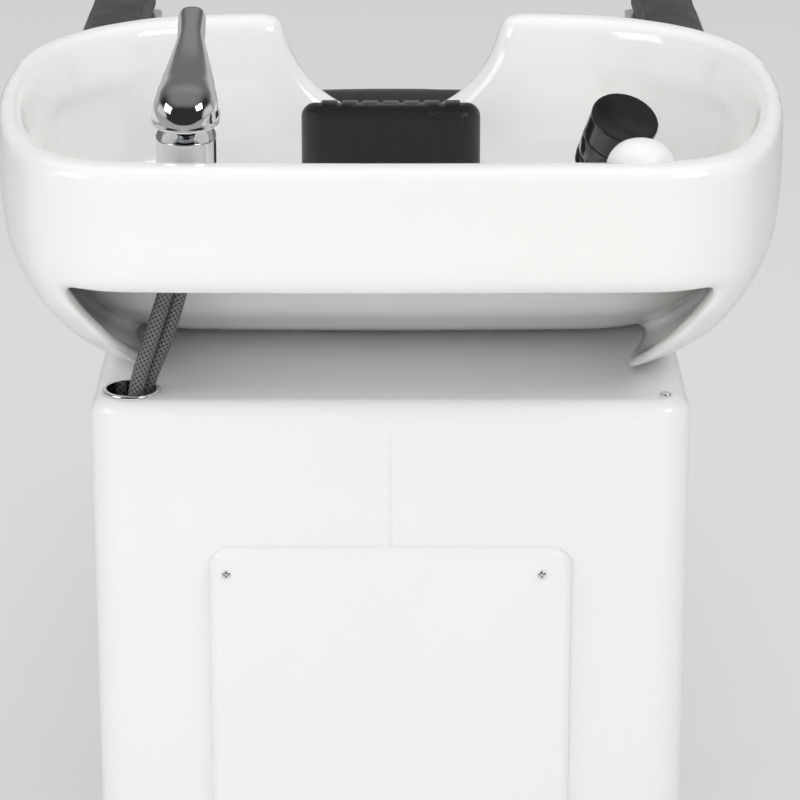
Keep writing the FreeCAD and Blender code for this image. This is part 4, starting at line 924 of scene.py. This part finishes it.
def makeCabinetFront():
    face = cabinet["face"]
    thick, roundness = panel["thick"], panel["round"]
    steps = [(0.0, 0.0), (thick - roundness, 0.0)]
    for angle in (12, 24, 36, 48, 60, 72, 82, 90):
        turn = math.radians(angle)
        steps.append((thick - roundness + roundness * math.sin(turn), roundness * (1 - math.cos(turn))))
    rings = []
    for depth, inset in steps:
        spots = plateLine(panel["halfWidth"] - inset, panel["low"] + inset, panel["high"] - inset,
                          max(panel["corner"] - inset, panel["leastCorner"]), 9)
        rings.append([(x, face - depth, z) for x, z in spots])
    addPiece("panel_form", loft("panel_form", rings), "cabinet_gelcoat", "couch_and_base",
             ["access_panel"], 50)
    spots = [(x, face - thick, z) for x, z in screwForm["spots"]]
    screws = spread("panel_screw_set", spots, screwHead(), "chrome")
    addPiece("panel_screw_set", screws, "chrome", "couch_and_base", ["panel_screws"], 40)
    half, rise, sunk, count = (ridge[key] for key in ("halfWidth", "rise", "sunk", "rows"))
    rings = []
    for k in range(count + 1):
        height = ridge["low"] + (ridge["high"] - ridge["low"]) * k / count
        fade = math.sin(math.pi * min(1.0, (count - k) / ridge["fadeRows"]) / 2)
        swell = rise * (ridge["endShare"] + (1 - ridge["endShare"]) * fade) + sunk
        line = [(half * math.cos(math.radians(a)), face + sunk - swell * math.sin(math.radians(a)), height)
                for a in range(0, 181, 20)]
        rings.append(line + [(0.0, face + ridge["back"], height)])
    addPiece("mould_ridge", loft("mould_ridge", rings), "cabinet_gelcoat", "couch_and_base", (), 60)


makeCabinetFront()
print("stage: cabinet front made")


# Cushions: each has its own plane, given as its start, the way along it and the way out of it

couch = {"lean": 32.0, "top": 0.410, "halfWidth": 0.252, "thick": 0.093, "gap": 0.003,
         "back": 0.672, "seatEnd": 1.5905, "legs": (1.5935, 1.790)}
rise = math.radians(couch["lean"])
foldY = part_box("back_board")[1].y
retreat = couch["thick"] * math.tan(rise / 2) + couch["gap"]
level = {"start": (0, 0, couch["top"]), "along": (0, 1, 0), "out": (0, 0, 1), "halfWidth": couch["halfWidth"]}
cushions = {
    "back_cushion": {"start": (0, foldY, couch["top"]), "along": (0, -math.cos(rise), math.sin(rise)),
                     "out": (0, math.sin(rise), math.cos(rise)), "span": (retreat, couch["back"]),
                     "halfWidth": couch["halfWidth"]},
    "seat_cushion": {**level, "span": (foldY + retreat, front + couch["seatEnd"])},
    "leg_cushion": {**level, "span": tuple(front + end for end in couch["legs"])},
}
padding = {"voxel": 0.0068, "shrink": 0.004, "cap": 0.0065, "pressure": 4.0, "frames": 20, "piping": 0.0021,
           "pipingHeight": 0.068, "lowerPiping": 0.014, "stitchInset": 0.0115, "stitchPitch": 0.0058,
           "stitch": (0.0019, 0.00042), "stitchCorner": 0.024, "corner": 0.030, "outset": 0.0004,
           "flat": 0.002, "held": 0.006, "quality": 5, "evening": 3}
trialGrain = 1.0
casting = {"out": 0.05, "outReach": 0.12, "up": 0.25, "upReach": 0.3, "sidePitch": 0.012, "topPitch": 0.010,
           "lift": 0.0002}


def swollen(node, foot, rule):
    # the CAD solid, made a little smaller, blown up by cloth, its move capped, its base kept flat
    mesh = facing(frame["nodes"][node].data.copy())
    bm = bmesh.new()
    bm.from_mesh(mesh)
    for vertex in bm.verts:
        vertex.co -= vertex.normal * (0.0 if foot(vertex.co) < padding["flat"] else rule["shrink"])
    bm.to_mesh(mesh)
    bm.free()
    mesh = grained(node + "_pad", mesh, rule["voxel"] * trialGrain)
    thing = placed(node + "_pad", mesh)
    before = [v.co.copy() for v in mesh.vertices]
    held = thing.vertex_groups.new(name="held")
    held.add([v.index for v in mesh.vertices if foot(v.co) < padding["held"]], 1.0, "REPLACE")
    cloth = thing.modifiers.new("cloth", "CLOTH")
    cloth.settings.use_pressure = True
    cloth.settings.uniform_pressure_force = padding["pressure"]
    cloth.settings.effector_weights.gravity = 0
    cloth.settings.vertex_group_mass = "held"
    cloth.settings.quality = padding["quality"]
    cloth.point_cache.frame_end = padding["frames"]
    for number in range(1, padding["frames"] + 1):
        scene.frame_set(number)
    swelled = baked(thing)
    bpy.data.objects.remove(thing)
    scene.frame_set(1)
    for vertex, rest in zip(swelled.vertices, before):
        move = vertex.co - rest
        if move.length > rule["cap"]:
            vertex.co = rest + move.normalized() * rule["cap"]
    return shaped(node + "_form", swelled, ("SMOOTH", {"factor": 0.5, "iterations": padding["evening"]}),
                  ("SUBSURF", {"levels": 1, "render_levels": 1}))


def skinOf(mesh):
    # for casts onto the surface
    points = [v.co.copy() for v in mesh.vertices]
    return BVHTree.FromPolygons(points, [tuple(f.vertices) for f in mesh.polygons])


def padLine(plane, inset, corner, pitch):
    # points round a pad in its own plane, at most a pitch apart
    low, high = plane["span"]
    spots = plateLine(plane["halfWidth"] - inset, low + inset, high - inset, corner, 10)
    dense = []
    for k, spot in enumerate(spots):
        here, ahead = Vector(spot), Vector(spots[(k + 1) % len(spots)])
        pieces = max(1, int((ahead - here).length / pitch))
        dense += [here + (ahead - here) * (j / pieces) for j in range(pieces)]
    return dense


def seamLine(skin, plane, height):
    # a closed line round a pad's sides at one height, found by casting inwards
    start, along, out = (Vector(plane[key]) for key in ("start", "along", "out"))
    middle = Vector((0.0, sum(plane["span"]) / 2))
    dense = padLine(plane, 0.0, padding["corner"], casting["sidePitch"])
    line = []
    for k, here in enumerate(dense):
        tangent = (dense[(k + 1) % len(dense)] - dense[k - 1]).normalized()
        normal = Vector((tangent.y, -tangent.x))
        if normal.dot(here - middle) < 0:
            normal = -normal
        away = here + normal * casting["out"]
        origin = start + Vector((away.x, 0, 0)) + along * away.y + out * height
        way = -(Vector((normal.x, 0, 0)) + along * normal.y)
        hit = skin.ray_cast(origin, way, casting["outReach"])
        if hit[0] is not None:
            line.append(hit[0] - way * padding["outset"])
    return line


def stitchLine(skin, plane, inset, corner):
    # a closed line on a pad's top, found by casting down
    start, along, out = (Vector(plane[key]) for key in ("start", "along", "out"))
    line = []
    for spot in padLine(plane, inset, corner, casting["topPitch"]):
        origin = start + Vector((spot.x, 0, 0)) + along * spot.y + out * casting["up"]
        hit = skin.ray_cast(origin, -out, casting["upReach"])
        if hit[0] is not None:
            line.append(hit[0] + out * casting["lift"])
    return line


def stitched(name, line):
    def wire(lay, given):
        curve = lay("GeometryNodeMeshToCurve", {"Mesh": given["Geometry"]})
        values = {"Curve": curve.outputs[0], "Length": given["Pitch"]}
        points = lay("GeometryNodeResampleCurve", values, mode="LENGTH")
        tangent = lay("GeometryNodeInputTangent")
        turn = lay("FunctionNodeAlignRotationToVector", {"Vector": tangent.outputs[0]}, axis="Z")
        bead = lay("GeometryNodeMeshUVSphere", {"Segments": 6, "Rings": 4, "Radius": 1.0})
        values = {"Points": points.outputs[0], "Instance": bead.outputs[0], "Rotation": turn.outputs[0],
                  "Scale": given["Size"]}
        return lay("GeometryNodeInstanceOnPoints", values).outputs[0]

    path = bpy.data.meshes.new(name)
    path.from_pydata([tuple(p) for p in line], [(k, (k + 1) % len(line)) for k in range(len(line))], [])
    length, width = padding["stitch"]
    values = {"Pitch": padding["stitchPitch"], "Size": (width, width, length)}
    return grown(name, path, "upholstery", values, wire)


def makeCushions():
    for node, plane in cushions.items():
        start, out = Vector(plane["start"]), Vector(plane["out"])
        mesh = swollen(node, lambda p: (p - start).dot(out), padding)
        skin = skinOf(mesh)
        pad = addPiece(node + "_form", mesh, "upholstery", "couch_and_base", [node])
        print(node, "triangles", 2 * len(mesh.polygons))
        cords = []
        for height in (padding["pipingHeight"], padding["lowerPiping"]):
            cords.append(tube(node + "_cord", seamLine(skin, plane, height), padding["piping"], 10, True))
        addPiece(node + "_piping", joined(node + "_piping", *cords), "upholstery", "couch_and_base")
        line = stitchLine(skin, plane, padding["stitchInset"], padding["stitchCorner"])
        addPiece(node + "_stitches", stitched(node + "_stitches", line), "upholstery", "couch_and_base")


armPads = {"voxel": 0.0045, "shrink": 0.0015, "cap": 0.003, "foot": 0.738, "centre": 0.305,
           "halfWidth": 0.037, "span": (foldY - 0.380, foldY + 0.250), "stitchInset": 0.010,
           "stitchCorner": 0.016}


def makeArmPads():
    mesh = swollen("armrest_pads", lambda p: p.z - armPads["foot"], armPads)
    skin = skinOf(mesh)
    print("arm pads triangles", 2 * len(mesh.polygons))
    pads = addPiece("armrest_pad_forms", mesh, "upholstery", "couch_and_base", ["armrest_pads"])
    rows = []
    for side in (-1, 1):
        plane = {**armPads, "start": (side * armPads["centre"], 0, armPads["foot"]), "along": (0, 1, 0),
                 "out": (0, 0, 1)}
        line = stitchLine(skin, plane, armPads["stitchInset"], armPads["stitchCorner"])
        rows.append(stitched("row", line))
    addPiece("armrest_pad_stitches", joined("armrest_pad_stitches", *rows), "upholstery", "couch_and_base")


makeCushions()
makeArmPads()
print("stage: cushions padded")


# The rest of the metal and board pieces, with their edges eased

easing = {
    "base_cabinet": 0.0012, "hose_grommet": 0.0004, "tap_body": 0.0007, "tap_base_ring": 0.0004,
    "tap_stem": 0.0004, "shelf_screw": 0.0003, "shower_dock_bush": 0.0004, "drain_flange": 0.0003,
    "hair_strainer": 0.0003, "drain_nut": 0.0006, "trap_body": 0.0006, "trap_cup": 0.0008,
    "head_support_plate": 0.0005, "head_support_post": 0.0005, "basin_hinge_brackets": 0.0005,
    "basin_hinge_plate": 0.0006, "basin_hinge_bolts": 0.0005, "basin_plate_screws": 0.0005,
    "basin_hinge_shaft": 0.0008, "basin_bumpers": 0.0006, "deck_nuts": 0.0006, "hose_ferrules": 0.0005,
    "hose_nuts": 0.0005, "stop_valves": 0.0006, "valve_bracket": 0.0006, "floor_rails": 0.0022,
    "floor_cross_tubes": 0.0018, "pedestal_posts": 0.0018, "pedestal_top_plate": 0.0008,
    "couch_posts": 0.0018, "couch_cross_tubes": 0.0018, "back_side_tubes": 0.0018,
    "seat_side_tubes": 0.0018, "armrest_outriggers": 0.0018, "armrest_uprights": 0.0012,
    "armrest_bases": 0.0010, "back_board": 0.0012, "seat_board": 0.0012, "leg_board": 0.0012,
    "board_screws": 0.0005, "levelling_pads": 0.0006, "levelling_studs": 0.0004,
}
easeRule = {"merge": 2e-6, "flatAngle": 0.6, "sharpAngle": 32, "segments": 2, "profile": 0.6, "weight": 90}


def softCopy(node, width):
    # the CAD node's own form with its edges eased
    mesh = frame["nodes"][node].data.copy()
    sharp = math.radians(easeRule["sharpAngle"])
    bm = bmesh.new()
    bm.from_mesh(mesh)
    bmesh.ops.remove_doubles(bm, verts=bm.verts, dist=easeRule["merge"])
    bmesh.ops.dissolve_limit(
        bm, angle_limit=math.radians(easeRule["flatAngle"]), verts=bm.verts, edges=bm.edges)
    edges = [e for e in bm.edges if len(e.link_faces) == 2 and e.calc_face_angle(0) > sharp]
    bmesh.ops.bevel(bm, geom=edges, offset=width, segments=easeRule["segments"], profile=easeRule["profile"],
                    affect="EDGES", clamp_overlap=True)
    bmesh.ops.triangulate(bm, faces=[f for f in bm.faces if len(f.verts) > 4])
    bm.to_mesh(mesh)
    bm.free()
    for face in mesh.polygons:
        face.use_smooth = True
    mesh.set_sharp_from_angle(angle=sharp)
    even = ("WEIGHTED_NORMAL", {"keep_sharp": True, "weight": easeRule["weight"]})
    mesh = shaped(node + "_eased", mesh, even)
    addPiece(node + "_eased", mesh, slotOf[node], bodyOf[node], [node])


for node, width in easing.items():
    softCopy(node, width)
print("stage: edges eased")


# Floor, lights and room tone

room = {
    "floor": (0.80, 0.815, 0.805), "roughness": 0.6, "seen": (0.78, 0.785, 0.775), "seenShare": 0.55,
    "wall": (0.80, 0.795, 0.79), "reach": 30.0, "world": 0.54, "dark": 0.032,
    "side": 0.60, "sideFrom": (0.86, 0.97), "sideFoot": (-0.10, 0.06), "sideTop": (0.46, 0.26),
    "under": 0.42, "underFrom": (0.03, -0.20), "behind": 0.50, "behindFrom": (0.10, 0.75),
    "beyond": 0.30, "beyondFrom": (0.50, 0.20), "above": 0.19, "aboveFrom": (0.62, 0.98),
}
lamps = {
    "keySoftbox": {"place": (1.9, -2.2, 2.9), "aim": (0, -0.6, 0.8), "size": (1.5, 1.1), "power": 27.0},
    "fillSoftbox": {"place": (-2.3, -1.9, 2.3), "aim": (0, -0.6, 0.8), "size": (1.6, 1.2), "power": 17.0},
    "lowSoftbox": {"place": (-0.6, -3.7, 1.5), "aim": (0, -0.8, 0.72), "size": (1.8, 0.9), "power": 24.0,
                   "mirrored": False},
    "topSoftbox": {"place": (0.3, 0.6, 3.2), "aim": (0, -0.2, 0.6), "size": (2.2, 1.6), "power": 25.0,
                   "mirrored": False},
}


def makeFloor():
    reach = room["reach"]
    corners = [(-reach, -reach, 0), (reach, -reach, 0), (reach, reach, 0), (-reach, reach, 0)]
    mesh = meshFrom("floor", corners, [(0, 1, 2, 3)])
    made = Recipe("paleFloor", Base_Color=(*room["floor"], 1), Roughness=room["roughness"])
    lay = layer(made.tree)
    # the camera sees a paler floor, which keeps the object's shadow
    pale = lay("ShaderNodeEmission", {0: (*room["seen"], 1)}).outputs[0]
    path = lay("ShaderNodeLightPath").outputs
    rays = {0: path["Is Camera Ray"], 1: path["Is Transmission Ray"]}
    either = lay("ShaderNodeMath", rays, operation="MAXIMUM").outputs[0]
    share = lay("ShaderNodeMath", {0: either, 1: room["seenShare"]}, operation="MULTIPLY").outputs[0]
    blend = lay("ShaderNodeMixShader", {0: share, 1: made.shader.outputs[0], 2: pale}).outputs[0]
    made.tree.links.new(blend, made.tree.nodes["Material Output"].inputs[0])
    mesh.materials.append(made.material)
    placed("floor", mesh)


def makeLight(name, place, aim, size, power, mirrored=True):
    data = bpy.data.lights.new(name, "AREA")
    data.shape = "RECTANGLE"
    data.size, data.size_y = size
    data.energy = power
    lamp = placed(name, data)
    lamp.location = place
    lamp.rotation_euler = (Vector(aim) - Vector(place)).to_track_quat("-Z", "Y").to_euler()
    lamp.visible_glossy = mirrored


def makeWorld():
    # diffuse light is even; what shines sees a room with bright sides and a dark end behind the camera
    world = bpy.data.worlds.new("studio")
    scene.world = world
    world.use_nodes = True
    tree = world.node_tree
    tree.nodes.clear()
    lay = layer(tree)

    def smooth(value, low, high, newLow=0.0, newHigh=1.0):
        values = {"Value": value, "From Min": low, "From Max": high, "To Min": newLow, "To Max": newHigh}
        return lay("ShaderNodeMapRange", values, interpolation_type="SMOOTHSTEP").outputs[0]

    def combine(operation, first, second):
        return lay("ShaderNodeMath", {0: first, 1: second}, operation=operation).outputs[0]

    path = lay("ShaderNodeLightPath").outputs
    way = lay("ShaderNodeTexCoord").outputs["Generated"]
    across, along, up = lay("ShaderNodeSeparateXYZ", {0: way}).outputs
    side = smooth(combine("ABSOLUTE", across, 0.0), *room["sideFrom"])
    band = combine("MULTIPLY", smooth(up, *room["sideFoot"]), smooth(up, *room["sideTop"]))
    below = smooth(up, *room["underFrom"], 0.0, room["under"])
    behind = combine("MULTIPLY", smooth(along, *room["behindFrom"], 0.0, room["behind"]),
                     smooth(up, *room["beyondFrom"], room["beyond"], 1.0))
    above = smooth(up, *room["aboveFrom"], 0.0, room["above"])
    lamp = combine("MULTIPLY", combine("MULTIPLY", side, band), room["side"])
    glow = combine("ADD", combine("ADD", lamp, below), combine("ADD", behind, above))
    strength = combine("ADD", glow, room["dark"])
    shine = lay("ShaderNodeBackground", {"Color": (1, 1, 1, 1), "Strength": strength}).outputs[0]
    seen = lay("ShaderNodeBackground", {"Color": (*room["wall"], 1)}).outputs[0]
    lit = lay("ShaderNodeBackground", {"Color": (1, 1, 1, 1), "Strength": room["world"]}).outputs[0]
    either = combine("MAXIMUM", path["Is Camera Ray"], path["Is Transmission Ray"])
    first = lay("ShaderNodeMixShader", {0: path["Is Glossy Ray"], 1: lit, 2: shine}).outputs[0]
    last = lay("ShaderNodeMixShader", {0: either, 1: first, 2: seen}).outputs[0]
    lay("ShaderNodeOutputWorld", {0: last})


makeFloor()
makeWorld()
for name, lamp in lamps.items():
    makeLight(name, **lamp)
print("stage: room lit")

scene.view_settings.view_transform = "Standard"
